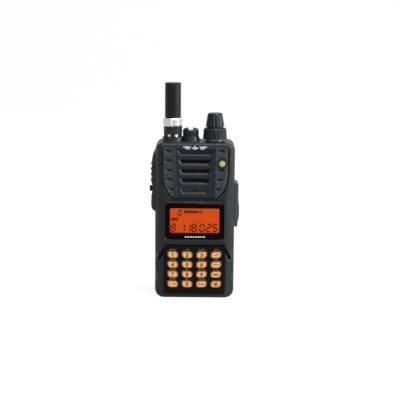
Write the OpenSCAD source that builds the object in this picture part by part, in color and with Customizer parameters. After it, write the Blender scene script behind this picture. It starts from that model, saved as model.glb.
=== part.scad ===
// Handheld aviation radio, in millimetres.
// +Z is up, the keypad faces -Y, and the origin is the centre of the foot that it stands on.

/* [Case] */
// Width of the case across its flat sides
case_w = 60.8; // [58:0.1:62]
// Height of the case without its top fittings
case_h = 120; // [119:0.5:122]
// Depth of the case with its battery pack
case_d = 33; // [33:0.5:36]
// Thickness of the moulded side walls
wall = 2.2; // [1.8:0.1:2.4]
// Radius of the upper corners, seen from the front
top_r = 6; // [6:0.5:9]
// Radius of the lower corners, seen from the front
foot_r = 6.5; // [5:0.5:8]

/* [Front face] */
// Half width of the flat face beside the loudspeaker
head_half_w = 27.4; // [26:0.1:28]
// Half width of the flat face beside the display
waist_half_w = 22.8; // [22.6:0.1:24]
// Number of loudspeaker slots
slot_count = 5; // [4:1:5]
// Height from one loudspeaker slot to the next
slot_pitch = 7.35; // [7:0.05:7.6]
// Width of the display window
window_w = 45; // [44:0.5:45]
// Height of the display window
window_h = 27.9; // [26:0.1:28]

/* [Keypad] */
// Distance between key columns
key_dx = 11.1; // [10.5:0.1:11.5]
// Distance between key rows
key_dz = 7.65; // [7.5:0.05:7.8]
// Width of a key
key_w = 7.2; // [6.5:0.1:7.5]
// Height of a key
key_h = 5.0; // [4.6:0.1:5.2]
// How far a key goes down
key_travel = 0.8; // [0.4:0.1:0.8]

/* [Top fittings] */
// Place of the antenna across the case
antenna_x = -17.25; // [-18:0.5:-16]
// Place of the microphone socket across the case
socket_x = -3.5; // [-4.5:0.1:-3]
// Place of the two knobs across the case
knob_x = 15.05; // [14:0.1:16]
// Height of the antenna's flat end above the foot
antenna_top = 164.6; // [150:0.1:200]
// Diameter of the antenna above its ring
antenna_d = 12.4; // [10:0.1:12.5]

/* [Side fittings] */
// How far the push-to-talk strip stands out of the left side
talk_proud = 3; // [2.8:0.1:3.6]
// How far the socket cover stands out of the right side
cover_proud = 3.6; // [3:0.1:4]

/* [Hidden] */
$fn = 64;
e = 0.01;
half_w = case_w / 2;
half_d = case_d / 2;
front_y = -half_d;
back_y = half_d;

// The front case meets the rear case on this stepped surface, with a gasket between them.
part_y = 4.5;
part_top_y = 8.5;
part_z = 110;
gasket_t = 0.4;

// Depths of what is stacked behind the front face
face_t = 2.5;
lobby_y = front_y + face_t;
lobby_half_w = 22.4;
hall_y = -8.5;
lcd_t = 1.8;
light_t = 1.2;
key_board_y = -10.8;
main_board_y = -8.2;
board_t = 1.2;
mat_y = -12.5;
mat_t = 0.8;

// Bevelled shoulders beside the front face
shoulder_y = -10;
shoulder_low_z = 70;
shoulder_high_z = 106;
shoulder_bulge = 0.7;
crown_r = 3;

// Loudspeaker panel
slot_top_z = 115;
slot_h = 3;
slot_half_w = [12.6, 11.8, 11.2, 10.7, 10.4];
slot_slant = 1.3;
blind_depth = 1.5;
shield_top_z = 117;
shield_half_w = 25.1;
shield_low_z = 77.5;
shield_low_half_w = 14.5;
groove_w = 0.7;
groove_depth = 0.6;
rib_x = 15.2;
speaker_z = 101;
speaker_r = 15;
mic_z = 84;
mic_drop = 1.4;
mic_r = 2.7;
louvre_half_w = [2.4, 2.4, 2.3, 2.1, 1.8];
louvre_x = [20.4, 20.4, 19.9, 19.2, 18.0];

// Status lamp
lamp_x = 20.7;
lamp_z = 104.6;
lamp_r = 2.6;
lamp_ring_r = 3.6;

// Display
window_z = 59.9;
window_r = 2.5;
window_y = front_y + 0.3;
window_back_y = front_y + 1.6;
lcd_w = 42;
lcd_h = 24;
lcd_z = 59.6;
view_w = 40;
view_h = 22;

// Keypad block at the foot
block_top_z = 42;
block_half_w = 22.4;
block_low_half_w = 28.7;
block_side_z = 30;
block_drop = 1;
block_y = front_y + block_drop;
panel_half_w = 23.4;
panel_low_z = 3.4;
panel_high_z = 41.2;
panel_y = front_y + 0.4;
panel_seat_y = lobby_y - 0.9;
panel_back_y = lobby_y - 0.1;
panel_neck_half_w = 21.9;
key_top_z = 34;
key_y = front_y - 0.8;
key_gap = 0.25;
key_flange = 0.6;
key_flange_y = lobby_y;
key_flange_t = 0.6;
dome_r = 2.1;
dome_t = 0.4;
scoop_z = [31.7, 15.9];
scoop_r = 7.6;
scoop_x = half_w + 5.4;
scoop_y = -13.7;

// Antenna socket, skirt and ring, as heights above the foot
antenna_boss_z = case_h + 3.2;
antenna_boss_r = 8;
skirt_top_z = 131.4;
skirt_r = 7.1;
jack_nut_r = 6;
jack_nut_top_z = 125.8;
jack_r = 4;
jack_top_z = 132.9;
ring_low_z = 131.5;
ring_top_z = 137.8;
ring_r = 7.5;
ring_bore_r = 5;
whip_low_z = 138.1;
window_count = 6;
ring_flutes = 10;

// Microphone socket and its cap
socket_boss_z = case_h + 4;
socket_r = 3.25;
cap_top_z = 129.9;
cap_r = 6.1;
cap_flutes = 12;

// Knobs on one double shaft
pot_boss_z = case_h + 0.8;
pot_nut_z = 121.5;
outer_knob_z = 121.8;
outer_knob_top_z = 130.1;
outer_knob_r = [9.2, 8.6];
inner_knob_z = 131.3;
inner_knob_top_z = 141.6;
inner_knob_r = [7.1, 5.6];
neck_r = 6.4;
sleeve_r = 3;
core_r = 1.5;
run_gap = 0.05;
knob_flutes = 14;

// Push-to-talk strip on the left side
talk_y = -2.7;
talk_w = 12.4;
talk_low_z = 65.6;
talk_high_z = 113.2;
talk_frame = 2.4;
bar_w = 9;
bar_low_z = 87.4;
bar_high_z = 109.6;
bar_x = half_w + 1.3;
bar_rib_z = [102.9, 98.8, 94.4, 90.2];
bar_travel = 1.2;
monitor_z = 83.5;
monitor_r = 2.3;
light_key_z = 72.6;

// Socket cover on the right side
cover_y = -2.5;
cover_w = 11;
cover_low_z = 54.3;
cover_high_z = 89.8;
cover_x = half_w + 0.15;
cover_hinge_r = 1.2;
cover_hinge_x = half_w + 1.35;
cover_hinge_z = cover_low_z + cover_hinge_r;
socket_z = 68;
power_bore_r = 2.8;

// Rear case, battery pack and latch
bay_y = 6.3;
bay_low_z = 3.6;
bay_high_z = 94;
pack_gap = 0.2;
pack_half_w = 28.6;
pack_low_z = bay_low_z + 0.3;
pack_high_z = bay_high_z - 0.3;
lip_y = 13.2;
latch_y = 14.4;
latch_z = 2;
latch_half_w = 8.2;
latch_top_z = 8.8;
ear_x = 11.2;
ear_half_w = 2.2;
ear_top_z = 6;
clip_z = 104;
clip_spacing = 24;
clip_r = 1.25;
clip_depth = 5;
screw_x = 25;
screw_z = [9, 90];
screw_r = 1;
contact_x = [-6, 0, 6];
contact_z = 88;

KEYS = [
  "key_1", "key_2", "key_3", "key_check",
  "key_4", "key_5", "key_6", "key_dual",
  "key_7", "key_8", "key_9", "key_mode",
  "key_mem", "key_0", "key_clear", "key_power"
];

// ---------- general shapes ----------

// A value that eases from 0 to 1 as t goes from 0 to 1
function ease(t) = let (u = min(max(t, 0), 1)) u * u * (3 - 2 * u);

// Half width of the flat front face at height z
function face_half_w(z) = waist_half_w + (head_half_w - waist_half_w)
  * ease((z - shoulder_low_z) / (shoulder_high_z - shoulder_low_z));

// A box given by its two corners
module block(low, high) {
  translate(low)
    cube(high - low);
}

// A flat outline in X and Z, made solid from y0 back to y1
module plate(y0, y1) {
  translate([0, y1, 0])
    rotate([90, 0, 0])
      linear_extrude(y1 - y0)
        children();
}

// A flat outline in Y and Z, made solid from x0 across to x1
module side_plate(x0, x1) {
  translate([x0, 0, 0])
    rotate([90, 0, 90])
      linear_extrude(x1 - x0)
        children();
}

// An upright cylinder from z0 to z1
module post(x, z0, z1, r, r_top = 0) {
  translate([x, 0, z0])
    cylinder(h = z1 - z0, r1 = r, r2 = r_top > 0 ? r_top : r);
}

// A cylinder along Y from y0 to y1
module rod_y(x, z, y0, y1, r) {
  translate([x, y0, z])
    rotate([-90, 0, 0])
      cylinder(h = y1 - y0, r = r);
}

// A cylinder along X from x0 to x1
module rod_x(y, z, x0, x1, r) {
  translate([x0, y, z])
    rotate([0, 90, 0])
      cylinder(h = x1 - x0, r = r);
}

// A rectangle with true round corners; low and high are its corner points
module soft_rect(low, high, r) {
  size = high - low;
  translate(low + [r, 0])
    square([size[0] - 2 * r, size[1]]);
  translate(low + [0, r])
    square([size[0], size[1] - 2 * r]);
  for (x = [low[0] + r, high[0] - r], z = [low[1] + r, high[1] - r])
    translate([x, z])
      circle(r);
}

// ---------- case ----------

// Outline of the case seen from the front
module case_outline(inset = 0) {
  w = half_w - inset;
  rt = top_r - inset;
  rb = foot_r - inset;
  translate([-w, foot_r])
    square([2 * w, case_h - top_r - foot_r]);
  translate([-half_w + top_r, case_h - top_r - e])
    square([case_w - 2 * top_r, top_r - inset + e]);
  translate([-half_w + foot_r, inset])
    square([case_w - 2 * foot_r, foot_r - inset + e]);
  for (s = [-1, 1]) {
    translate([s * (half_w - top_r), case_h - top_r])
      circle(rt);
    translate([s * (half_w - foot_r), foot_r])
      circle(rb);
  }
}

// Side view of the case, with a round crown at the front and small bevels at the back
module case_profile() {
  bevel = 1.6;
  polygon([
    [front_y + 1.2, 0], [front_y, 1.2],
    for (a = [180 : -15 : 90])
      [front_y + crown_r + crown_r * cos(a), case_h - crown_r + crown_r * sin(a)],
    [back_y - bevel, case_h], [back_y, case_h - bevel],
    [back_y, bevel], [back_y - bevel, 0]
  ]);
}

// What is cut away to bevel one shoulder: a four-cornered section swept up the case
module shoulder_cut() {
  zs = [-1, 10, 20, 30, 40, 50, 60, for (z = [shoulder_low_z : 3 : shoulder_high_z]) z, 114, 121];
  n = len(zs);
  over = 0.25;
  points = [
    for (z = zs)
      let (f = face_half_w(z), dx = half_w - f, dy = shoulder_y - front_y)
        each [
          [f - dx * over, front_y - dy * over, z],
          [f + dx / 2 + shoulder_bulge, front_y + dy / 2 - shoulder_bulge, z],
          [half_w + dx * over, shoulder_y + dy * over, z],
          [half_w + 3, front_y - 3, z]
        ]
  ];
  faces = [
    [0, 2, 1], [0, 3, 2],
    for (i = [0 : n - 2], k = [0 : 3])
      let (a = 4 * i + k, b = 4 * i + (k + 1) % 4)
        each [[a, b + 4, a + 4], [a, b, b + 4]],
    [4 * n - 1, 4 * n - 3, 4 * n - 2], [4 * n - 1, 4 * n - 4, 4 * n - 3]
  ];
  polyhedron(points, faces);
}

// Everything in front of the parting surface, moved back by gap
module front_zone(gap) {
  block([-40, -30, -5], [40, part_y + gap, 130]);
  block([-40, -30, part_z - gap], [40, part_top_y + gap, 130]);
}

// The case as one lump, before it is hollowed and parted
module case_lump() {
  difference() {
    intersection() {
      plate(front_y - 1, back_y + 1)
        case_outline();
      side_plate(-half_w - 1, half_w + 1)
        case_profile();
    }
    shoulder_cut();
    mirror([1, 0, 0])
      shoulder_cut();
  }
}

// The room inside the case
module case_room() {
  block([-lobby_half_w, lobby_y, wall + 0.2], [lobby_half_w, hall_y + 1, case_h - face_t]);
  plate(hall_y, bay_y - 1.4)
    case_outline(face_t);
  block([-half_w + wall, part_y - e, bay_high_z + 2], [half_w - wall, back_y - 2, case_h - 9.5]);
  block([-half_w + top_r, part_y - e, bay_high_z + 2], [half_w - top_r, back_y - 2, case_h - face_t]);
}

// Half of the outline of the loudspeaker panel, going down its right side
function shield_side() = [
  [shield_half_w - 1.5, shield_top_z],
  [shield_half_w, shield_top_z - 2.5],
  for (t = [0 : 0.125 : 1])
    let (a = 90 * t)
      [shield_low_half_w + (shield_half_w - shield_low_half_w) * pow(cos(a), 0.55),
       shield_low_z + 22 * (1 - pow(sin(a), 0.6))]
];

// Outline of the loudspeaker panel
module shield_outline() {
  right = shield_side();
  n = len(right);
  polygon(concat(right, [for (i = [n - 1 : -1 : 0]) [-right[i][0], right[i][1]]]));
}

// One loudspeaker slot, wider at its top
module slot_shape(i) {
  top = slot_top_z - i * slot_pitch;
  w = slot_half_w[i];
  polygon([[-w, top], [w, top], [w - slot_slant, top - slot_h], [-w + slot_slant, top - slot_h]]);
}

// One small blind louvre beside the slots; side is -1 or 1
module louvre_shape(i, side) {
  top = slot_top_z - i * slot_pitch;
  w = louvre_half_w[i];
  x = side * louvre_x[i];
  polygon([[x - w, top], [x + w, top], [x + w - side * 0.6, top - 2.6], [x - w + side * 0.6, top - 2.6]]);
}

// Cuts that make the loudspeaker panel
module speaker_cuts() {
  plate(front_y - 1, front_y + groove_depth)
    difference() {
      shield_outline();
      offset(delta = -groove_w)
        shield_outline();
    }
  for (i = [0 : slot_count - 1])
    plate(front_y - 1, i == 0 || i == 4 ? front_y + blind_depth : lobby_y + 1)
      slot_shape(i);
  for (i = [0 : 4]) {
    plate(front_y - 1, front_y + 0.5)
      louvre_shape(i, -1);
    if (i != 1)
      plate(front_y - 1, front_y + 0.5)
        louvre_shape(i, 1);
  }
  rod_y(0, mic_z, front_y - 1, lobby_y + 1, 0.6);
  rod_y(lamp_x, lamp_z, front_y - 1, lobby_y + 1, lamp_ring_r);
}

// Cuts for the display window and the light behind it
module window_cuts() {
  plate(front_y - 1, window_back_y)
    window_outline(0.1);
  plate(front_y - 1, lobby_y + 1)
    soft_rect([-view_w / 2, lcd_z - view_h / 2], [view_w / 2, lcd_z + view_h / 2], 1);
}

// Outline of the display window
module window_outline(gap = 0) {
  soft_rect(
    [-window_w / 2 - gap, window_z - window_h / 2 - gap],
    [window_w / 2 + gap, window_z + window_h / 2 + gap], window_r);
}

// The lowered area around the keypad, and the hole that the keypad panel fills
module keypad_cuts() {
  plate(front_y - 1, block_y)
    polygon([
      [-block_low_half_w, block_side_z], [-block_half_w, block_top_z],
      [block_half_w, block_top_z], [block_low_half_w, block_side_z],
      [half_w + 1, block_side_z - 1], [half_w + 1, -1], [-half_w - 1, -1], [-half_w - 1, block_side_z - 1]
    ]);
  plate(front_y - 1, panel_seat_y)
    soft_rect([-panel_half_w - 0.1, panel_low_z - 0.1], [panel_half_w + 0.1, panel_high_z + 0.1], 2);
  plate(front_y - 1, lobby_y + 1)
    soft_rect([-panel_neck_half_w - 0.1, panel_low_z + 1.4], [panel_neck_half_w + 0.1, panel_high_z - 1.4], 1);
  for (z = scoop_z, s = [-1, 1])
    translate([s * scoop_x, scoop_y, z])
      sphere(scoop_r);
}

module front_case() {
  color("dimgray")
    difference() {
      union() {
        intersection() {
          case_lump();
          front_zone(0);
        }
        post(antenna_x, case_h - 2, antenna_boss_z, antenna_boss_r);
        post(socket_x, case_h - 2, socket_boss_z, 7.2, 6.3);
        post(knob_x, case_h - 2, pot_boss_z, 7.4);
        for (s = [-1, 1])
          block([s * rib_x - 0.35, front_y - 0.3, 80], [s * rib_x + 0.35, front_y + 1, 115.5]);
      }
      difference() {
        case_room();
        for (x = [-screw_x, screw_x], z = screw_z)
          rod_y(x, z, -6.8, part_y + 3, 3.2);
      }
      for (x = [-screw_x, screw_x], z = screw_z)
        rod_y(x, z, -4, part_y + 1, screw_r);
      speaker_cuts();
      window_cuts();
      keypad_cuts();
      post(antenna_x, 100, antenna_boss_z + 1, 5.05);
      post(socket_x, 100, socket_boss_z + 1, 4.65);
      post(knob_x, 100, pot_boss_z + 1, 4.55);
      rod_x(cover_y, socket_z, half_w - 4, half_w + 1, 3.55);
    }
}

module rear_case() {
  color("#2b2d2f")
    difference() {
      union() {
        difference() {
          case_lump();
          front_zone(gasket_t);
          block([-40, bay_y, bay_low_z], [40, 30, bay_high_z]);
          block([-40, lip_y, -1], [40, 30, bay_low_z + 1]);
          case_room();
        }
        for (s = [-1, 1])
          rod_y(s * clip_spacing / 2, clip_z, back_y - 7, back_y - 1, 3.6);
      }
      for (s = [-1, 1])
        rod_y(s * clip_spacing / 2, clip_z, back_y - clip_depth, back_y + 1, clip_r);
      for (x = [-screw_x, screw_x], z = screw_z)
        rod_y(x, z, part_y - 1, bay_y + 1, 1.3);
      for (x = [-screw_x, screw_x], z = screw_z)
        rod_y(x, z, bay_y - 0.8, bay_y + 1, 2.2);
      for (x = contact_x)
        block([x - 1.1, part_y, contact_z - 2.1], [x + 1.1, bay_y + 1, contact_z + 2.1]);
      for (x = [-18 : 4 : 18])
        block([x - 0.8, back_y - 0.6, 110.5], [x + 0.8, back_y + 1, 116]);
    }
}

module case_gasket() {
  color("#151515")
    intersection() {
      plate(part_y - 1, part_top_y + 2)
        difference() {
          case_outline(0.2);
          case_outline(wall - 0.3);
        }
      difference() {
        front_zone(gasket_t);
        front_zone(0);
      }
    }
}

module case_screws() {
  color("silver")
    for (x = [-screw_x, screw_x], z = screw_z)
      difference() {
        union() {
          rod_y(x, z, -3.8, bay_y - 0.5, screw_r);
          rod_y(x, z, bay_y - 0.8, bay_y, 2.1);
        }
        block([x - 1.2, bay_y - 0.4, z - 0.2], [x + 1.2, bay_y + 1, z + 0.2]);
        block([x - 0.2, bay_y - 0.4, z - 1.2], [x + 0.2, bay_y + 1, z + 1.2]);
      }
}

// ---------- display ----------

module display_window() {
  color("#101012")
    plate(window_y, window_back_y)
      window_outline();
}

module lcd_panel() {
  color("#e0642a")
    block(
      [-lcd_w / 2, lobby_y + 0.1, lcd_z - lcd_h / 2],
      [lcd_w / 2, lobby_y + 0.1 + lcd_t, lcd_z + lcd_h / 2]);
}

module backlight() {
  color("white")
    block(
      [-lcd_w / 2, lobby_y + 0.1 + lcd_t, lcd_z - lcd_h / 2],
      [lcd_w / 2, lobby_y + 0.1 + lcd_t + light_t, lcd_z + lcd_h / 2]);
}

// ---------- loudspeaker, microphone and lamp ----------

module speaker_cloth() {
  color("#111111")
    rod_y(0, speaker_z, lobby_y, lobby_y + 0.3, speaker_r + 0.6);
}

// A profile of depth and radius turned about the loudspeaker's axis; depth grows to the back
module speaker_turn(y0) {
  translate([0, y0, speaker_z])
    rotate([-90, 0, 0])
      rotate_extrude()
        children();
}

module speaker_frame() {
  color("silver")
    speaker_turn(lobby_y + 0.4)
      polygon([
        [speaker_r, 0], [speaker_r, 1.2], [13.5, 1.4], [8.6, 3.8], [8.6, 4.4], [7.4, 4.4],
        [7.4, 3.2], [12.8, 0.9], [13.6, 0]
      ]);
}

module speaker_cone() {
  color("#222222")
    speaker_turn(lobby_y + 0.5)
      polygon([[0, 1.1], [3, 1.2], [7, 2.2], [12.2, 0.4], [13, 0.4], [13, 0.1], [12, 0.1],
        [7, 1.8], [3, 0.8], [0, 0.7]]);
}

module speaker_magnet() {
  color("gray")
    speaker_turn(lobby_y + 2.9)
      polygon([[0, 0], [7.3, 0], [7.3, 2.4], [6.8, 2.8], [0, 2.8]]);
}

module microphone() {
  color("silver")
    difference() {
      rod_y(0, mic_z - mic_drop, lobby_y + 0.1, lobby_y + 2.3, mic_r);
      rod_y(0, mic_z, lobby_y - 1, lobby_y + 0.6, 0.6);
    }
}

module status_bezel() {
  color("#17190f")
    difference() {
      rod_y(lamp_x, lamp_z, front_y - 0.35, lobby_y, lamp_ring_r - 0.05);
      rod_y(lamp_x, lamp_z, front_y - 1, lobby_y + 1, lamp_r + 0.03);
    }
}

module status_lens() {
  color("#aec973")
    translate([lamp_x, front_y - 0.75, lamp_z])
      rotate([-90, 0, 0])
        rotate_extrude()
          polygon([[0, 0], [1.1, 0.07], [1.9, 0.26], [lamp_r, 0.75], [lamp_r, 3.25], [0, 3.25]]);
}

// ---------- circuit boards ----------

module main_board() {
  color("seagreen")
    block([-27, main_board_y, 6], [27, main_board_y + board_t, 98]);
}

module rf_shield() {
  color("lightgray")
    for (z = [14, 56])
      block([-19, main_board_y + board_t, z], [19, main_board_y + board_t + 3.6, z + 36]);
}

module keypad_board() {
  color("green")
    block([-22, key_board_y, 4], [22, key_board_y + board_t, 76]);
}

// Place of key number i, counted along the rows from the top left
function key_at(i) = [(i % 4 - 1.5) * key_dx, key_top_z - floor(i / 4) * key_dz];

module dome_switches() {
  color("gold")
    for (i = [0 : 15])
      rod_y(key_at(i)[0], key_at(i)[1], key_board_y - dome_t, key_board_y, dome_r);
}

module keypad_mat() {
  color("wheat")
    block([-21.4, mat_y, 5], [21.4, mat_y + mat_t, 40.4]);
}

// ---------- keypad ----------

// Points of a round corner about [x, z], from angle a0 over a quarter turn
function corner(x, z, r, a0) = [for (a = [0 : 15 : 90]) [x + r * cos(a0 + a), z + r * sin(a0 + a)]];

// Outline of a key: a rounded rectangle with two fuller corners; lean is -1 or 1
module key_outline(lean, grow = 0) {
  w = key_w / 2 + grow;
  h = key_h / 2 + grow;
  full = 1.3;
  soft = 2.2;
  r = lean > 0 ? [soft, full, soft, full] : [full, soft, full, soft];
  polygon(concat(
    corner(w - r[0], h - r[0], r[0], 0),
    corner(r[1] - w, h - r[1], r[1], 90),
    corner(r[2] - w, r[2] - h, r[2], 180),
    corner(w - r[3], r[3] - h, r[3], 270)));
}

// Which way key number i leans: the two left columns one way, the two right columns the other
function key_lean(i) = i % 4 < 2 ? 1 : -1;

module keypad_panel() {
  color("#1d2226")
    difference() {
      union() {
        plate(panel_y, panel_seat_y)
          soft_rect([-panel_half_w, panel_low_z], [panel_half_w, panel_high_z], 2);
        plate(panel_seat_y - 0.5, panel_back_y)
          soft_rect([-panel_neck_half_w, panel_low_z + 1.5], [panel_neck_half_w, panel_high_z - 1.5], 1);
      }
      for (i = [0 : 15])
        plate(panel_y - 1, panel_back_y + 1)
          translate(key_at(i))
            key_outline(key_lean(i), key_gap);
    }
}

// Key number i: its top, and the flange that keeps it behind the panel
module key(i) {
  color("#e8c79a")
    translate([key_at(i)[0], 0, key_at(i)[1]]) {
      plate(key_y, key_y + 0.4)
        key_outline(key_lean(i), -0.35);
      plate(key_y + 0.4, key_flange_y)
        key_outline(key_lean(i));
      plate(key_flange_y, key_flange_y + key_flange_t)
        key_outline(key_lean(i), key_flange);
    }
}

// ---------- top fittings ----------

// Shallow grooves around an upright shape, following its slope from r_low to r_high
module flute_cuts(count, z0, z1, r_low, r_high, cut_r, depth) {
  lean = atan2(r_low - r_high, z1 - z0);
  for (i = [0 : count - 1])
    rotate([0, 0, (i + 0.5) * 360 / count])
      translate([r_low + cut_r - depth, 0, z0])
        rotate([0, -lean, 0])
          translate([0, 0, -2])
            cylinder(h = z1 - z0 + 4, r = cut_r, $fn = 24);
}

module antenna_jack() {
  color("silver")
    difference() {
      union() {
        post(antenna_x, 108, case_h - face_t - 0.1, 5.6);
        post(antenna_x, 108, antenna_boss_z, 5);
        post(antenna_x, antenna_boss_z, jack_nut_top_z, jack_nut_r);
        post(antenna_x, antenna_boss_z, jack_top_z, jack_r);
      }
      post(antenna_x, jack_top_z - 6, jack_top_z + 1, 2.6);
    }
}

module antenna_skirt() {
  color("#262827")
    difference() {
      post(antenna_x, antenna_boss_z + 0.15, skirt_top_z, skirt_r);
      post(antenna_x, antenna_boss_z - 1, jack_nut_top_z + 0.2, jack_nut_r + 0.1);
      post(antenna_x, antenna_boss_z, skirt_top_z + 1, jack_r + 0.1);
      translate([antenna_x, 0, 0])
        for (i = [0 : window_count - 1])
          rotate([0, 0, (i + 0.5) * 360 / window_count - 90])
            block([4, -1.95, antenna_boss_z + 0.4], [9, 1.95, jack_nut_top_z - 0.3]);
    }
}

module coupling_ring() {
  color("gainsboro")
    difference() {
      translate([antenna_x, 0, 0])
        rotate_extrude()
          polygon([
            [ring_bore_r, ring_low_z], [ring_r - 0.5, ring_low_z], [ring_r, ring_low_z + 0.9],
            [ring_r, ring_top_z - 0.9], [ring_r - 0.7, ring_top_z], [ring_bore_r, ring_top_z]
          ]);
      translate([antenna_x, 0, 0])
        flute_cuts(ring_flutes, ring_low_z, ring_top_z, ring_r, ring_r, 1.6, 0.45);
    }
}

module antenna_whip() {
  color("#1d2225")
    difference() {
      translate([antenna_x, 0, 0])
        rotate_extrude()
          polygon([
            [0, skirt_top_z], [ring_bore_r - run_gap, skirt_top_z], [ring_bore_r - run_gap, whip_low_z],
            [antenna_d / 2 - 0.4, whip_low_z], [antenna_d / 2, whip_low_z + 0.5],
            [antenna_d / 2 - 0.1, antenna_top - 0.3], [antenna_d / 2 - 0.4, antenna_top], [0, antenna_top]
          ]);
      post(antenna_x, skirt_top_z - 1, jack_top_z + 0.6, jack_r + 0.1);
    }
}

module mic_jack() {
  color("#2a2a2c")
    difference() {
      union() {
        post(socket_x, 104, case_h - face_t - 0.1, 5.2);
        post(socket_x, 110, socket_boss_z - 0.1, 4.6);
      }
      post(socket_x, 110, socket_boss_z + 1, socket_r);
    }
}

module mic_jack_cap() {
  color("#222428")
    difference() {
      union() {
        translate([socket_x, 0, 0])
          rotate_extrude()
            polygon([
              [0, socket_boss_z + 0.15], [cap_r - 0.3, socket_boss_z + 0.15], [cap_r, socket_boss_z + 0.5],
              [cap_r, cap_top_z - 1.8], [cap_r - 0.5, cap_top_z - 0.7], [cap_r - 1.7, cap_top_z], [0, cap_top_z]
            ]);
        post(socket_x, 112, socket_boss_z + 1, socket_r - run_gap);
      }
      translate([socket_x, 0, 0])
        flute_cuts(cap_flutes, socket_boss_z, cap_top_z, cap_r, cap_r, 1.1, 0.4);
      block([socket_x - 1.7, -8, cap_top_z - 1.9], [socket_x + 1.7, 8, cap_top_z + 1]);
    }
}

module control_pot() {
  color("gray")
    difference() {
      union() {
        block([knob_x - 7.8, -7, 101], [knob_x + 7.8, 7, 107.5]);
        block([knob_x - 7.8, -7, 108], [knob_x + 7.8, 7, 114]);
        post(knob_x, 107, 116, 6.5);
        post(knob_x, 107, pot_nut_z, 4.5);
        post(knob_x, pot_boss_z, pot_nut_z, 6.6);
      }
      post(knob_x, 109, pot_nut_z + 1, sleeve_r + run_gap);
      post(knob_x, 103, 110, core_r + run_gap);
    }
}

module squelch_shaft() {
  color("silver")
    difference() {
      post(knob_x, 109.3, 128.6, sleeve_r);
      post(knob_x, 109, 129, core_r + run_gap);
    }
}

module volume_shaft() {
  color("silver")
    post(knob_x, 103.3, 139, core_r);
}

// A tapered fluted knob with a bore from below; r is its radius at the foot and at the top
module knob(z0, z1, r, count, bore_r, bore_top) {
  difference() {
    translate([knob_x, 0, 0])
      rotate_extrude()
        polygon([
          [0, z0], [r[0] - 0.3, z0], [r[0], z0 + 0.4], [r[1] + 0.1, z1 - 0.9], [r[1] - 0.7, z1], [0, z1]
        ]);
    translate([knob_x, 0, 0])
      flute_cuts(count, z0, z1, r[0], r[1], 1.3, 0.4);
    post(knob_x, z0 - 1, bore_top, bore_r);
  }
}

module squelch_knob() {
  color("#434345")
    knob(outer_knob_z, outer_knob_top_z, outer_knob_r, knob_flutes + 2, sleeve_r, outer_knob_top_z + 1);
}

module volume_knob() {
  color("#434345")
    union() {
      knob(inner_knob_z, inner_knob_top_z, inner_knob_r, knob_flutes, core_r, 139);
      difference() {
        post(knob_x, outer_knob_top_z + 0.2, inner_knob_z, neck_r);
        post(knob_x, outer_knob_top_z, inner_knob_z + 1, core_r);
      }
    }
}

// ---------- left side ----------

// Outline of the side strip, seen from the side
module strip_outline() {
  soft_rect([talk_y - talk_w / 2, talk_low_z], [talk_y + talk_w / 2, talk_high_z], 4);
}

// The same strip seen from the front: it leans in at its top and rounds over at its foot
module strip_profile() {
  plate(-20, 20)
    polygon([
      [half_w, talk_low_z - 1], [half_w + 0.7, talk_low_z + 0.8], [half_w + 1.6, talk_low_z + 1.6],
      [half_w + 2.4, talk_low_z + 2.7], [half_w + talk_proud, talk_low_z + 4.4], [half_w + talk_proud, 79], [half_w + talk_frame, 79.6],
      [half_w + talk_frame, 100], [half_w + 2, talk_high_z - 3.4], [half_w + 1.4, talk_high_z - 1.4],
      [half_w + 0.5, talk_high_z], [half_w, talk_high_z + 1]
    ]);
}

module side_strip() {
  color("#36393a")
    mirror([1, 0, 0])
      difference() {
        intersection() {
          side_plate(half_w, half_w + talk_proud)
            strip_outline();
          strip_profile();
        }
        side_plate(half_w - 1, half_w + 5)
          soft_rect([talk_y - bar_w / 2 - 0.2, bar_low_z - 0.2], [talk_y + bar_w / 2 + 0.2, bar_high_z + 0.2], 2);
        rod_x(talk_y, monitor_z, half_w - 1, half_w + 5, monitor_r + 0.2);
        side_plate(half_w - 1, half_w + 5)
          soft_rect([talk_y - 2.7, light_key_z - 3.2], [talk_y + 2.7, light_key_z + 3.2], 1.5);
      }
}

module ptt_bar() {
  color("#323637")
    mirror([1, 0, 0])
      union() {
        intersection() {
          side_plate(bar_x, half_w + talk_proud)
            soft_rect([talk_y - bar_w / 2, bar_low_z], [talk_y + bar_w / 2, bar_high_z], 2);
          plate(-20, 20)
            polygon([
              [half_w, bar_low_z - 1], [half_w + talk_proud, bar_low_z - 1], [half_w + talk_proud, 98],
              [half_w + talk_proud - 0.5, 107], [bar_x + 0.7, bar_high_z],
              [half_w, bar_high_z + 1]
            ]);
        }
        for (z = bar_rib_z)
          rod_y(half_w + talk_proud, z, talk_y - 3.4, talk_y + 3.4, z > 100 ? 0.5 : 0.65);
      }
}

module monitor_button() {
  color("#2c3031")
    rod_x(talk_y, monitor_z, -half_w - 4.5, -half_w - 1.3, monitor_r);
}

module lamp_button() {
  color("#2c3031")
    mirror([1, 0, 0])
      union() {
        side_plate(half_w + 1.3, half_w + talk_proud)
          soft_rect([talk_y - 2.5, light_key_z - 3], [talk_y + 2.5, light_key_z + 3], 1.3);
        for (z = [light_key_z - 1.2, light_key_z + 1.2])
          rod_y(half_w + talk_proud, z, talk_y - 1.6, talk_y + 1.6, 0.5);
      }
}

module side_switches() {
  color("black")
    for (z = [98, monitor_z, light_key_z])
      block([-half_w + face_t + 0.1, main_board_y + board_t, z - 1.8], [-half_w + 5, -2, z + 1.8]);
}

// ---------- right side ----------

module dc_jack() {
  color("black")
    union() {
      difference() {
        rod_x(cover_y, socket_z, 20, half_w - 0.1, 3.5);
        rod_x(cover_y, socket_z, 22, half_w + 1, power_bore_r);
      }
      rod_x(cover_y, socket_z, 21, 27.5, 0.8);
    }
}

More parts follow.
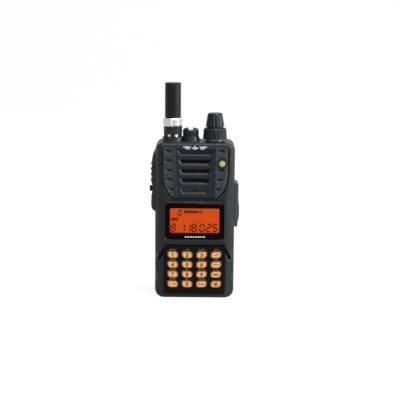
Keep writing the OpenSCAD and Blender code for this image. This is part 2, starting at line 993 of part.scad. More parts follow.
module jack_cover() {
  color("#424548")
    union() {
      intersection() {
        side_plate(cover_x, half_w + 6)
          soft_rect([cover_y - cover_w / 2, cover_low_z - 3], [cover_y + cover_w / 2, cover_high_z], 2.5);
        plate(-20, 20)
          polygon([
            [cover_x, cover_hinge_z], [cover_hinge_x + cover_hinge_r, cover_hinge_z],
            [half_w + cover_proud - 0.9, 58], [half_w + cover_proud - 0.1, 61.5],
            [half_w + cover_proud + 0.2, 65], [half_w + cover_proud + 0.1, 71],
            [half_w + cover_proud - 0.5, 75], [half_w + cover_proud - 0.5, cover_high_z - 3],
            [half_w + cover_proud - 1, cover_high_z - 1.2], [half_w + cover_proud - 2, cover_high_z],
            [cover_x, cover_high_z]
          ]);
      }
      translate([cover_hinge_x, cover_y - cover_w / 2 + 0.8, cover_hinge_z])
        rotate([-90, 0, 0])
          cylinder(h = cover_w - 1.6, r = cover_hinge_r);
      rod_x(cover_y, socket_z, half_w - 1.4, cover_x + 1, 2.2);
    }
}

// ---------- battery pack ----------

module battery_shell() {
  color("#232527")
    difference() {
      union() {
        difference() {
          plate(bay_y + pack_gap, back_y)
            soft_rect([-pack_half_w, pack_low_z], [pack_half_w, pack_high_z], 3);
          block([-latch_half_w - 4, lip_y - 0.4, 0], [latch_half_w + 4, back_y + 1, latch_top_z + 0.6]);
        }
        for (s = [-1, 1])
          block([s * ear_x - ear_half_w, lip_y + pack_gap, 0.3], [s * ear_x + ear_half_w, back_y - 0.4, ear_top_z]);
      }
      block([-pack_half_w + 2, bay_y + 1.8, pack_low_z + 4], [pack_half_w - 2, lip_y - 1.8, pack_high_z - 3]);
      block([-pack_half_w + 2, bay_y + 1.8, ear_top_z + 5.2], [pack_half_w - 2, back_y - 1.7, pack_high_z - 3]);
      rod_x(latch_y, latch_z, -ear_x - 2, ear_x + 2, 0.8);
      for (s = [-1, 1], i = [0 : 6])
        translate([s * pack_half_w, 0, 20 + 3 * i])
          rotate([0, 45, 0])
            block([-0.6, bay_y + 2.5, -0.6], [0.6, back_y - 2.5, 0.6]);
      for (s = [-1, 1])
        translate([s * pack_half_w, back_y, 0])
          rotate([0, 0, 45])
            block([-1.2, -1.2, 0], [1.2, 1.2, 100]);
      for (x = contact_x)
        block([x - 1.5, bay_y, contact_z - 2.2], [x + 1.5, bay_y + pack_gap + 0.5, contact_z + 2.2]);
    }
}

module battery_cells() {
  color("steelblue")
    for (s = [-1, 1])
      block(
        [s * 13 - 12.6, bay_y + 2, ear_top_z + 5.4],
        [s * 13 + 12.6, back_y - 1.9, pack_high_z - 8]);
}

module battery_contacts() {
  color("gold")
    for (x = contact_x)
      block(
        [x - 1.4, bay_y + pack_gap + 0.1, contact_z - 2.1],
        [x + 1.4, bay_y + pack_gap + 0.5, contact_z + 2.1]);
}

module battery_terminals() {
  color("gold")
    for (x = contact_x)
      union() {
        block([x - 1, part_y - 1.5, contact_z - 2], [x + 1, bay_y - 0.2, contact_z + 2]);
        rod_y(x, contact_z, bay_y - 0.3, bay_y + pack_gap + 0.05, 0.8);
      }
}

module battery_latch() {
  color("#303234")
    difference() {
      union() {
        rod_x(latch_y, latch_z, -latch_half_w, latch_half_w, 1.15);
        block([-latch_half_w, latch_y - 1, latch_z], [latch_half_w, latch_y + 1.1, latch_top_z]);
        for (z = [4.6, 5.9, 7.2])
          block([-5, latch_y + 1, z - 0.3], [5, latch_y + 1.5, z + 0.3]);
      }
      rod_x(latch_y, latch_z, -13, 13, 0.85);
    }
}

module latch_pin() {
  color("silver")
    rod_x(latch_y, latch_z, -11.2, 11.2, 0.8);
}

// ---------- what is drawn ----------

front_case();
rear_case();
case_gasket();
case_screws();
display_window();
lcd_panel();
backlight();
speaker_cloth();
speaker_frame();
speaker_cone();
speaker_magnet();
microphone();
main_board();
rf_shield();
keypad_board();
dome_switches();
keypad_mat();
keypad_panel();
antenna_jack();
mic_jack();
control_pot();
status_lens();
status_bezel();
side_strip();
side_switches();
dc_jack();
battery_terminals();
antenna_whip();
antenna_skirt();
coupling_ring();
for (i = [0 : 15])
  key(i);
ptt_bar();
monitor_button();
lamp_button();
volume_knob();
volume_shaft();
squelch_knob();
squelch_shaft();
mic_jack_cap();
jack_cover();
battery_shell();
battery_cells();
battery_contacts();
battery_latch();
latch_pin();
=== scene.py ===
"""Handheld aviation radio: the looks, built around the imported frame."""

import math

import bmesh
import bpy
import numpy as np
from bpy.props import FloatProperty, FloatVectorProperty, PointerProperty, StringProperty
from mathutils import Matrix, Vector


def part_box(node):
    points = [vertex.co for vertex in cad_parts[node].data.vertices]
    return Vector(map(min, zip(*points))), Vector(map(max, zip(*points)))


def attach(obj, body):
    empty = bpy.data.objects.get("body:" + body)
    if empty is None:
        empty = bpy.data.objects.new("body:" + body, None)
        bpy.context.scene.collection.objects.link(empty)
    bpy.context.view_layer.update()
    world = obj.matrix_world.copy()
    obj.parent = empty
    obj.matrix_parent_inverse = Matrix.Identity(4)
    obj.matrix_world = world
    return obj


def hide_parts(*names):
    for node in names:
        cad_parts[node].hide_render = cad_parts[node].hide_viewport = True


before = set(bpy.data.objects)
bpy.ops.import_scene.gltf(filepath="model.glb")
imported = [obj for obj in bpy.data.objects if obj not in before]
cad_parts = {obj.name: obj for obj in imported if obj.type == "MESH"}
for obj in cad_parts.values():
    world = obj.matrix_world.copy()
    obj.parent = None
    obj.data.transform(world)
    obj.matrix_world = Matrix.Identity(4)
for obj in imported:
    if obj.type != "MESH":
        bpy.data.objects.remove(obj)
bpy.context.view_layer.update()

bl_info = {
    "name": "Handheld aviation radio",
    "version": (1, 0, 0),
    "blender": (4, 5, 0),
    "location": "3D View > Sidebar > Radio",
    "description": "Builds the visible pieces and finishes of a handheld aviation radio",
    "category": "Object",
}

MM = 0.001
PRINT_MM = 0.02
SUNK_MM = 0.05
KEYS = [
    "key_1", "key_2", "key_3", "key_check", "key_4", "key_5", "key_6", "key_dual",
    "key_7", "key_8", "key_9", "key_mode", "key_mem", "key_0", "key_clear", "key_power",
]


# ---------- places taken from the frame, in millimetres ----------

def box_mm(node):
    """Lowest and highest corner of a CAD node in millimetres."""
    low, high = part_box(node)
    return low / MM, high / MM


def middle(node):
    """Centre of a CAD node in millimetres."""
    low, high = box_mm(node)
    return (low + high) / 2


REAR = box_mm("rear_case")
HALF_W = REAR[1].x
CASE_H = REAR[1].z
BACK_Y = REAR[1].y
FRONT_Y = -BACK_Y
WINDOW = box_mm("display_window")
LCD = box_mm("lcd_panel")
PANEL = box_mm("keypad_panel")
LAMP = middle("status_lens")
CLOTH_Y = box_mm("speaker_cloth")[0].y
ANTENNA_X = middle("antenna_jack").x
SOCKET_X = middle("mic_jack").x
KNOB_X = middle("squelch_shaft").x
SIDE_PART_Y = 4.5
TOP_PART_Y = 8.5
TOP_PART_Z = 110.0


# ---------- settings ----------

def colour(name, value, note):
    """A colour setting, given as an sRGB hex string."""
    return StringProperty(name=name, default=value, description=note)


def length(name, value, note):
    """A size setting in millimetres."""
    return FloatProperty(name=name, default=value, min=0.0, description=note)


class RadioShape(bpy.types.PropertyGroup):
    """Sizes of the moulded front, in millimetres."""

    head_half: length("Head half width", 26.3, "Half width of the flat face beside the loudspeaker")
    waist_half: length("Waist half width", 22.8, "Half width of the flat face beside the display")
    shoulder_depth: length("Shoulder depth", 6.5, "How far the shoulders fall back at the case's sides")
    crown: length("Crown radius", 3.0, "Radius of the front's upper edge")
    slot_pitch: length("Slot pitch", 7.35, "Height from one loudspeaker slot to the next")
    slot_height: length("Slot height", 3.0, "Height of a loudspeaker slot")
    lip: length("Slot lip", 1.6, "Height of the slanted lip under each slot")
    block_drop: length("Keypad step", 1.0, "How far the keypad block lies behind the face")
    cell: length("Mesh step", 0.3, "Distance between points of the moulded face")


class RadioColours(bpy.types.PropertyGroup):
    """Colours of the finishes, as sRGB hex values."""

    case: colour("Case", "#0f151a", "Front case, grey moulded blend")
    # painted light: a paler copy of the case colour for the loudspeaker panel's side fields
    fields: colour("Loudspeaker fields", "#22282e", "Plain fields of the loudspeaker panel")
    cover: colour("Socket cover", "#30363d", "Socket cover at the side")
    rear: colour("Rear case", "#0f1216", "Rear case and battery pack")
    panel: colour("Keypad panel", "#050506", "Black panel around the keys")
    border: colour("Window border", "#040304", "Black print behind the display window")
    amber: colour("Display", "#dd4f12", "Lit display")
    segment: colour("Segments", "#2c0a03", "Dark display segments")
    key: colour("Keys", "#f2bb80", "Lit keytops")
    legend: colour("Legends", "#4a2208", "Print on the keytops")
    glow: colour("Key glow", "#2c1406", "Light that leaks around the keys")
    label: colour("Labels", "#9e6f43", "Amber print over the keys")
    print: colour("Mark", "#c9cdd1", "Off-white print")
    rubber: colour("Rubber", "#0b0e11", "Antenna rubber")
    strip: colour("Side rubber", "#1c2022", "Side strip and socket cover")
    knob: colour("Knobs", "#121417", "Knobs and socket cap")
    nickel: colour("Nickel", "#cfccc8", "Plated coupling ring and socket")
    lamp: colour("Lamp", "#98b863", "Lit status lamp")


class RadioStage(bpy.types.PropertyGroup):
    """Where the camera stands, where it aims and its lens."""

    distance: FloatProperty(name="Distance", default=1.0, unit="LENGTH", description="Camera distance")
    height: FloatProperty(
        name="Elevation", default=math.radians(9.5), subtype="ANGLE", description="Camera elevation")
    roll: FloatProperty(name="Roll", default=math.radians(0.45), subtype="ANGLE", description="Camera roll")
    lens: FloatProperty(
        name="Lens", default=116.2, description="Focal length in millimetres on a 36 mm sensor")
    aim: FloatVectorProperty(
        name="Aim", default=(0.00396, 0.0, 0.0739), subtype="XYZ", unit="LENGTH", description="Aim point")


# ---------- shader nodes ----------

def linear(text):
    """Linear RGBA from an sRGB hex string."""
    parts = [int(text[i:i + 2], 16) / 255 for i in (1, 3, 5)]
    return [p / 12.92 if p <= 0.04045 else ((p + 0.055) / 1.055) ** 2.4 for p in parts] + [1.0]


def shade(text, factor):
    """A colour in linear RGBA, made lighter or darker by a factor."""
    return [c * factor for c in linear(text)[:3]] + [1.0]


def add(tree, kind, settings=None, links=None):
    """Adds a node, sets its attributes or input values, and links its inputs."""
    made = tree.nodes.new(kind)
    for key, value in (settings or {}).items():
        if isinstance(key, int) or key in made.inputs:
            made.inputs[key].default_value = value
        else:
            setattr(made, key, value)
    for key, source in (links or {}).items():
        tree.links.new(source, made.inputs[key])
    return made


def blank(name):
    """A material with only its output node; returns the material and its tree."""
    material = bpy.data.materials.new(name)
    material.use_nodes = True
    material.node_tree.nodes.clear()
    return material, material.node_tree


def close(material, tree, surface):
    """Joins the last shader to the output."""
    add(tree, "ShaderNodeOutputMaterial", links={"Surface": surface})
    return material


def noise(tree, size_mm, detail=3.0, roughness=0.55):
    """Noise whose blotches are about size_mm across."""
    place = add(tree, "ShaderNodeTexCoord")
    return add(
        tree, "ShaderNodeTexNoise",
        {"Scale": 1 / (size_mm * MM), "Detail": detail, "Roughness": roughness},
        {"Vector": place.outputs["Object"]})


def spread(tree, source, low, high, start=0.3, stop=0.7):
    """A value moved from the start..stop range to the low..high range."""
    return add(
        tree, "ShaderNodeMapRange",
        {"From Min": start, "From Max": stop, "To Min": low, "To Max": high}, {"Value": source})


def moulded(name, hexcode, rough, grain_mm, grain_depth_mm, wear_and_highlight=0.25, blotch=0.10, specular=0.22):
    """Moulded plastic or rubber: a fine texture from the tool, faint blotches and paler, smoother edges; the
    paler edges are partly wear and partly a painted highlight.
    """
    material, tree = blank(name)
    cloud = noise(tree, 9.0)
    grain = noise(tree, grain_mm, 2.0, 0.6)
    tint = add(
        tree, "ShaderNodeMix",
        {"data_type": "RGBA", 6: shade(hexcode, 1 - blotch), 7: shade(hexcode, 1 + blotch)},
        {0: cloud.outputs["Fac"]})
    # convex edges are painted paler: partly wear, partly a painted highlight where edges catch the lamps
    edge = add(tree, "ShaderNodeNewGeometry")
    rim = spread(tree, edge.outputs["Pointiness"], 0.0, wear_and_highlight, 0.505, 0.56)
    colour_out = add(
        tree, "ShaderNodeMix", {"data_type": "RGBA", 7: shade(hexcode, 2.1)},
        {0: rim.outputs["Result"], 6: tint.outputs[2]})
    gloss = spread(tree, grain.outputs["Fac"], rough - 0.06, rough + 0.06)
    bump = add(
        tree, "ShaderNodeBump", {"Strength": 0.6, "Distance": grain_depth_mm * MM},
        {"Height": grain.outputs["Fac"]})
    skin = add(
        tree, "ShaderNodeBsdfPrincipled", {"Specular IOR Level": specular},
        {"Base Color": colour_out.outputs[2], "Roughness": gloss.outputs["Result"],
         "Normal": bump.outputs["Normal"]})
    return close(material, tree, skin.outputs["BSDF"])


def plated(name, hexcode, rough, swirl_mm=3.0):
    """A plated or turned metal: bright, with faint handling marks that only show in its gloss."""
    material, tree = blank(name)
    marks = noise(tree, swirl_mm, 4.0, 0.7)
    fine = noise(tree, 0.5, 2.0, 0.6)
    gloss = spread(tree, marks.outputs["Fac"], rough * 0.7, rough * 1.5)
    tint = add(
        tree, "ShaderNodeMix", {"data_type": "RGBA", 6: shade(hexcode, 0.9), 7: shade(hexcode, 1.05)},
        {0: marks.outputs["Fac"]})
    bump = add(
        tree, "ShaderNodeBump", {"Strength": 0.25, "Distance": 0.02 * MM}, {"Height": fine.outputs["Fac"]})
    skin = add(
        tree, "ShaderNodeBsdfPrincipled", {"Metallic": 1.0},
        {"Base Color": tint.outputs[2], "Roughness": gloss.outputs["Result"],
         "Normal": bump.outputs["Normal"]})
    return close(material, tree, skin.outputs["BSDF"])


def lit(name, hexcode, power, patch_mm=6.0, rough=0.35, own=0.12, rim=None, specular=0.3):
    """A lit surface: mostly light from behind, a little uneven, and a rim colour where it curves away."""
    material, tree = blank(name)
    cloud = noise(tree, patch_mm)
    fine = noise(tree, 0.6)
    light = add(
        tree, "ShaderNodeMix", {"data_type": "RGBA", 6: shade(hexcode, 0.88), 7: shade(hexcode, 1.12)},
        {0: cloud.outputs["Fac"]})
    if rim:
        place = add(tree, "ShaderNodeTexCoord")
        axes = add(tree, "ShaderNodeSeparateXYZ", links={"Vector": place.outputs["Normal"]})
        facing = spread(tree, axes.outputs["Y"], 0.0, 1.0, -0.8, -0.99)
        light = add(
            tree, "ShaderNodeMix", {"data_type": "RGBA", 6: linear(rim)},
            {0: facing.outputs["Result"], 7: light.outputs[2]})
    bump = add(
        tree, "ShaderNodeBump", {"Strength": 0.2, "Distance": 0.03 * MM}, {"Height": fine.outputs["Fac"]})
    skin = add(
        tree, "ShaderNodeBsdfPrincipled",
        {"Base Color": shade(hexcode, own), "Roughness": rough, "Emission Strength": power,
         "Specular IOR Level": specular},
        {"Emission Color": light.outputs[2], "Normal": bump.outputs["Normal"]})
    return close(material, tree, skin.outputs["BSDF"])


def woven(name, hexcode, thread_mm):
    """Woven dust cloth: crossing threads with dark gaps between them."""
    material, tree = blank(name)
    place = add(tree, "ShaderNodeTexCoord")
    bands = [
        add(
            tree, "ShaderNodeTexWave",
            {"bands_direction": axis, "Scale": 1 / (thread_mm * MM * 20), "Distortion": 0.4},
            {"Vector": place.outputs["Object"]})
        for axis in ("X", "Z")
    ]
    weave = add(
        tree, "ShaderNodeMath", {"operation": "MULTIPLY"},
        {0: bands[0].outputs["Fac"], 1: bands[1].outputs["Fac"]})
    tint = add(
        tree, "ShaderNodeMix", {"data_type": "RGBA", 6: shade(hexcode, 0.4), 7: shade(hexcode, 1.6)},
        {0: weave.outputs["Value"]})
    bump = add(
        tree, "ShaderNodeBump", {"Strength": 0.7, "Distance": 0.1 * MM}, {"Height": weave.outputs["Value"]})
    skin = add(
        tree, "ShaderNodeBsdfPrincipled", {"Roughness": 0.9, "Specular IOR Level": 0.1},
        {"Base Color": tint.outputs[2], "Normal": bump.outputs["Normal"]})
    return close(material, tree, skin.outputs["BSDF"])


def clear_pane(name):
    """Hard-coated acrylic pane: clear, with a thin gloss."""
    material, tree = blank(name)
    fine = noise(tree, 2.0)
    gloss = spread(tree, fine.outputs["Fac"], 0.03, 0.07)
    skin = add(
        tree, "ShaderNodeBsdfPrincipled",
        {"Base Color": (0.0, 0.0, 0.0, 1.0), "Specular IOR Level": 0.12, "Alpha": 0.03},
        {"Roughness": gloss.outputs["Result"]})
    return close(material, tree, skin.outputs["BSDF"])


def make_finishes(c):
    """Every finish of the radio, by its short name."""
    return {
        # ABS and polycarbonate blend, moulded in a spark-eroded tool: soft grey sheen and a fine even grain
        "case": moulded("moulded_abs_grey", c.case, 0.46, 0.45, 0.035, wear_and_highlight=0.35),
        # The loudspeaker panel's plain fields: a finer tool texture and a little more gloss, and a paler
        # colour that is painted light, standing in for the light these fields catch
        "fields": moulded("fine_moulded_abs_grey_painted_lighter", c.fields, 0.42, 0.3, 0.02, wear_and_highlight=0.35, specular=0.3),
        # The same blend in black: reads darker, with a coarser grain for grip
        "rear": moulded("moulded_abs_black", c.rear, 0.55, 0.7, 0.06, wear_and_highlight=0.25),
        # Satin-painted polycarbonate sheet: smooth, dark, barely any grain
        "panel": moulded("painted_polycarbonate_black", c.panel, 0.38, 0.6, 0.01, wear_and_highlight=0.15, specular=0.08),
        # Black ink behind acrylic: deep gloss
        "border": moulded(
            "back_printed_acrylic", c.border, 0.14, 2.0, 0.004, wear_and_highlight=0.0, blotch=0.05, specular=0.03),
        # Liquid crystal cell lit from behind: saturated amber, a little uneven
        "amber": lit("lit_liquid_crystal", c.amber, 0.95, 14.0, 0.3, own=0.02, specular=0.05),
        # Dark crystal segments: brown ink look over the amber
        "segment": lit("dark_liquid_crystal", c.segment, 0.9, 3.0, 0.3, own=0.02, specular=0.05),
        # Silicone rubber keytops lit from behind: warm cream, brighter in patches
        "key": lit("lit_silicone_rubber", c.key, 0.86, 2.5, 0.5, own=0.03, rim="#a05618", specular=0.06),
        # Laser-cut legends in the keytops' paint: brown
        "legend": lit("etched_legend", c.legend, 0.7, 1.0, 0.5, own=0.05, specular=0.05),
        # Light leaking around the keys onto the panel: dark orange
        "glow": lit("leaked_key_light", c.glow, 0.8, 2.0, 0.6, own=0.05, specular=0.08),
        # Pad-printed ink, amber and off-white: flat and slightly rough; the amber print is made to glow,
        # painted light in place of the lamps' light on it
        "label": lit("glowing_pad_print_amber", c.label, 0.75, 1.0, 0.6),
        "print": moulded("pad_print_white", c.print, 0.5, 0.4, 0.01, wear_and_highlight=0.0),
        # Moulded thermoplastic rubber: soft dark sheen, faint drag marks
        "rubber": moulded("moulded_rubber_black", c.rubber, 0.42, 0.5, 0.02, wear_and_highlight=0.15, specular=0.17),
        "strip": moulded("moulded_rubber_grey", c.strip, 0.5, 0.5, 0.03, wear_and_highlight=0.35),
        # The socket cover is a harder, paler grade of the same rubber
        "cover": moulded("moulded_hard_rubber_grey", c.cover, 0.5, 0.5, 0.03, wear_and_highlight=0.35),
        # Moulded glass-filled nylon knobs: matt, with ridges painted paler, partly wear and partly a painted
        # highlight
        "knob": moulded("moulded_nylon_knob", c.knob, 0.44, 0.5, 0.03, wear_and_highlight=0.35, specular=0.18),
        "skirt": moulded("moulded_acetal_black", "#131516", 0.36, 0.5, 0.02, wear_and_highlight=0.25),
        # Bright nickel plate on turned brass: mirror-like, faint handling marks
        "nickel": plated("bright_nickel_plate", c.nickel, 0.34),
        # Zinc-plated steel: grey and satin
        "steel": plated("zinc_plated_steel", "#a4a6a8", 0.34),
        # Gold flash over nickel on spring contacts
        "gold": plated("gold_flash", "#d2a64c", 0.22),
        # Epoxy glass board under green solder mask: glossy with a weave below
        "board": moulded("solder_mask_green", "#1c5233", 0.28, 1.2, 0.02, wear_and_highlight=0.1),
        # Polyester dust cloth, drawn coarser than its 0.2 mm threads so that it shows
        "cloth": woven("woven_dust_cloth", "#0c0d0e", 0.6),
        # Lit epoxy lens: milky green
        "lamp": lit("lit_epoxy_lens", c.lamp, 0.98, 2.0, 0.2, rim="#3c6624"),
        # Shrink-wrapped lithium cells: glossy blue film
        "wrap": moulded("shrink_wrap_blue", "#2c4a6a", 0.22, 3.0, 0.03, wear_and_highlight=0.1),
        # Sintered ferrite: dull dark grey
        "ferrite": moulded("sintered_ferrite", "#3a3b3e", 0.7, 0.8, 0.05, wear_and_highlight=0.2),
        # White acrylic light guide
        "guide": lit("white_light_guide", "#efece4", 0.3, 8.0, 0.4),
        "pane": clear_pane("hard_coated_acrylic"),
    }


FINISHES = {}

CAD_FINISH = {
    "rear_case": "rear", "case_gasket": "rubber", "case_screws": "steel", "lcd_panel": "amber",
    "backlight": "guide", "speaker_cloth": "cloth", "speaker_frame": "steel", "speaker_cone": "rubber",
    "speaker_magnet": "ferrite", "microphone": "steel", "main_board": "board", "rf_shield": "steel",
    "keypad_board": "board", "dome_switches": "gold", "keypad_mat": "key", "keypad_panel": "panel",
    "antenna_jack": "nickel", "mic_jack": "skirt", "control_pot": "steel", "status_lens": "lamp",
    "status_bezel": "skirt", "side_strip": "strip", "side_switches": "skirt", "dc_jack": "skirt",
    "battery_terminals": "gold", "antenna_whip": "rubber", "antenna_skirt": "skirt",
    "coupling_ring": "nickel",
    "ptt_bar": "strip", "monitor_button": "strip", "lamp_button": "strip", "volume_knob": "knob",
    "volume_shaft": "steel", "squelch_knob": "knob", "squelch_shaft": "steel", "mic_jack_cap": "knob",
    "jack_cover": "cover", "battery_shell": "rear", "battery_cells": "wrap", "battery_contacts": "gold",
    "battery_latch": "rear", "latch_pin": "steel",
}

EDGE_MM = {
    "rear_case": 0.5, "battery_shell": 0.5, "keypad_panel": 0.25, "side_strip": 0.5, "ptt_bar": 0.35,
    "monitor_button": 0.45, "lamp_button": 0.3, "jack_cover": 0.6, "volume_knob": 0.15, "squelch_knob": 0.15,
    "mic_jack_cap": 0.15, "coupling_ring": 0.15, "antenna_whip": 0.3, "antenna_skirt": 0.15,
    "battery_latch": 0.25, "status_bezel": 0.12, "antenna_jack": 0.2,
}


# ---------- mesh helpers ----------

def piece(name, verts, faces, finish, body, slot, stands_for=(), sharp=32):
    """A new visible piece from points in millimetres, riding on a body."""
    mesh = bpy.data.meshes.new(name)
    mesh.from_pydata([(v[0] * MM, v[1] * MM, v[2] * MM) for v in verts], [], faces)
    mesh.update()
    work = bmesh.new()
    work.from_mesh(mesh)
    bmesh.ops.remove_doubles(work, verts=work.verts, dist=1e-7)
    bmesh.ops.recalc_face_normals(work, faces=work.faces)
    work.to_mesh(mesh)
    work.free()
    mesh.shade_smooth()
    mesh.set_sharp_from_angle(angle=math.radians(sharp))
    made = bpy.data.objects.new(name, mesh)
    bpy.context.scene.collection.objects.link(made)
    mesh.materials.append(FINISHES[finish])
    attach(made, body)
    if stands_for:
        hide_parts(*stands_for)
    return made


def stack(loops, closed_ends=True):
    """Points and faces that join loops of equal length, with both ends filled."""
    n = len(loops[0])
    verts = [p for loop in loops for p in loop]
    faces = []
    for a in range(len(loops) - 1):
        for i in range(n):
            j = (i + 1) % n
            faces.append((a * n + i, a * n + j, (a + 1) * n + j, (a + 1) * n + i))
    if closed_ends:
        faces.append(tuple(range(n))[::-1])
        faces.append(tuple((len(loops) - 1) * n + i for i in range(n)))
    return verts, faces


def merge(parts):
    """One list of points and faces from several."""
    verts, faces = [], []
    for v, f in parts:
        base = len(verts)
        verts += list(v)
        faces += [tuple(i + base for i in face) for face in f]
    return verts, faces


def turned(x, y, profile, segments=64):
    """A closed shape turned about an upright axis; profile holds (radius, height) from foot to top."""
    loops = []
    for r, z in profile:
        loops.append([
            (x + r * math.cos(2 * math.pi * i / segments), y + r * math.sin(2 * math.pi * i / segments), z)
            for i in range(segments)])
    return stack(loops)


def rounded(w, h, radii, steps=8):
    """Outline of a rectangle of half sizes w and h; each corner has its radius, from upper right round."""
    centres = [(1, 1), (-1, 1), (-1, -1), (1, -1)]
    points = []
    for k, (sx, sz) in enumerate(centres):
        r = radii[k]
        for i in range(steps + 1):
            a = math.pi / 2 * (k + i / steps)
            points.append((sx * (w - r) + r * math.cos(a), sz * (h - r) + r * math.sin(a)))
    return points


def bar(x0, z0, x1, z1, width, y_front, y_back):
    """A thin printed stroke between two points on a face."""
    dx, dz = x1 - x0, z1 - z0
    size = math.hypot(dx, dz)
    nx, nz = -dz / size * width / 2, dx / size * width / 2
    outline = [(x0 + nx, z0 + nz), (x1 + nx, z1 + nz), (x1 - nx, z1 - nz), (x0 - nx, z0 - nz)]
    return stack([[(px, y_back, pz) for px, pz in outline], [(px, y_front, pz) for px, pz in outline]])


def ring(outline_in, outline_out, x, z, y_front, y_back):
    """A flat ring between two outlines with the same number of points."""
    n = len(outline_in)
    loops = [
        [(x + p[0], y, z + p[1]) for p in outline]
        for outline, y in (
            (outline_in, y_back), (outline_out, y_back), (outline_out, y_front), (outline_in, y_front))
    ]
    verts = [p for loop in loops for p in loop]
    faces = []
    for a in range(4):
        b = (a + 1) % 4
        for i in range(n):
            j = (i + 1) % n
            faces.append((a * n + i, a * n + j, b * n + j, b * n + i))
    return verts, faces


# ---------- moulded front ----------

SLOT_TOP_Z = 115.0
SLOT_HALF = [12.6, 11.8, 11.2, 10.7, 10.4]
SLOT_SLANT = 1.3
LOUVRE_HALF = [2.4, 2.4, 2.3, 2.1, 1.8]
LOUVRE_X = [20.4, 20.4, 19.9, 19.2, 18.0]
CORNER_TOP_R = 6.0
CORNER_FOOT_R = 6.5
SHIELD_HALF = 25.1
SHIELD_LOW_HALF = 14.5
SHIELD_LOW_Z = 77.5
SHIELD_TOP_Z = 117.0
BLOCK_TOP_Z = 42.0
BLOCK_TOP_HALF = 22.4
BLOCK_SLOPE = 1.9
SCOOP_Z = (31.7, 15.9)
SCOOP_R = 7.6
SKIN_MM = 1.0

# depths and heights on the face, in millimetres
PANEL_RISE = 0.4
GROOVE_DEPTH = 1.1
GROOVE_WIDTH = 0.62
HOLLOW_DEPTH = 1.3
COLUMN_DROP = 0.28
RIB_RISE = 0.27
RIB_WIDTH = 0.42
LIP_DEPTH = 1.25
END_DEPTH = 0.8
LEAN_DEPTH = 0.55
LOUVRE_DEPTH = 1.6
LAMP_SEAT = 0.5
MIC_Z = 84.0
MIC_DEPTH = 1.2
WINDOW_SEAT = 1.5
LEDGE_RISE = 0.32
PANEL_SEAT = 0.75
TRENCH_DEPTH = 1.2
SEAT_GAP = 0.15
FOOT_ROUND = 1.2


def ease(low, high, value):
    """0 below low, 1 above high and a smooth rise between."""
    t = np.clip((value - low) / (high - low), 0, 1)
    return t * t * (3 - 2 * t)


def rect_gap(x, z, cx, cz, half_w, half_h, r):
    """Signed distance from points to a rounded rectangle: negative inside."""
    qx = np.abs(x - cx) - (half_w - r)
    qz = np.abs(z - cz) - (half_h - r)
    outside = np.hypot(np.maximum(qx, 0), np.maximum(qz, 0))
    return outside + np.minimum(np.maximum(qx, qz), 0) - r


def outline_half(z):
    """Half width of the case outline at height z."""
    half = np.full_like(z, HALF_W)
    up = z > CASE_H - CORNER_TOP_R
    dz = z - (CASE_H - CORNER_TOP_R)
    half = np.where(
        up, HALF_W - CORNER_TOP_R + np.sqrt(np.maximum(CORNER_TOP_R ** 2 - dz ** 2, 0)), half)
    dz = CORNER_FOOT_R - z
    return np.where(
        z < CORNER_FOOT_R,
        HALF_W - CORNER_FOOT_R + np.sqrt(np.maximum(CORNER_FOOT_R ** 2 - dz ** 2, 0)), half)


def shield_gap(x, z):
    """Signed distance, roughly, to the loudspeaker panel's outline: negative inside."""
    t = np.clip((z - SHIELD_LOW_Z) / 22.0, 0, 1)
    side = SHIELD_LOW_HALF + (SHIELD_HALF - SHIELD_LOW_HALF) * (1 - (1 - t) ** 2.6) ** 0.62
    across = (np.abs(x) - side) * 0.75
    below = SHIELD_LOW_Z - z
    above = z - SHIELD_TOP_Z
    return np.maximum(np.maximum(across, below), above)


def slot_edges(i, z, shape):
    """Half width of slot i at height z, and the slot's upper and lower edge."""
    top = SLOT_TOP_Z - i * shape.slot_pitch
    half = SLOT_HALF[i] - SLOT_SLANT * np.clip((top - z) / shape.slot_height, 0, 1.5)
    return half, top, top - shape.slot_height


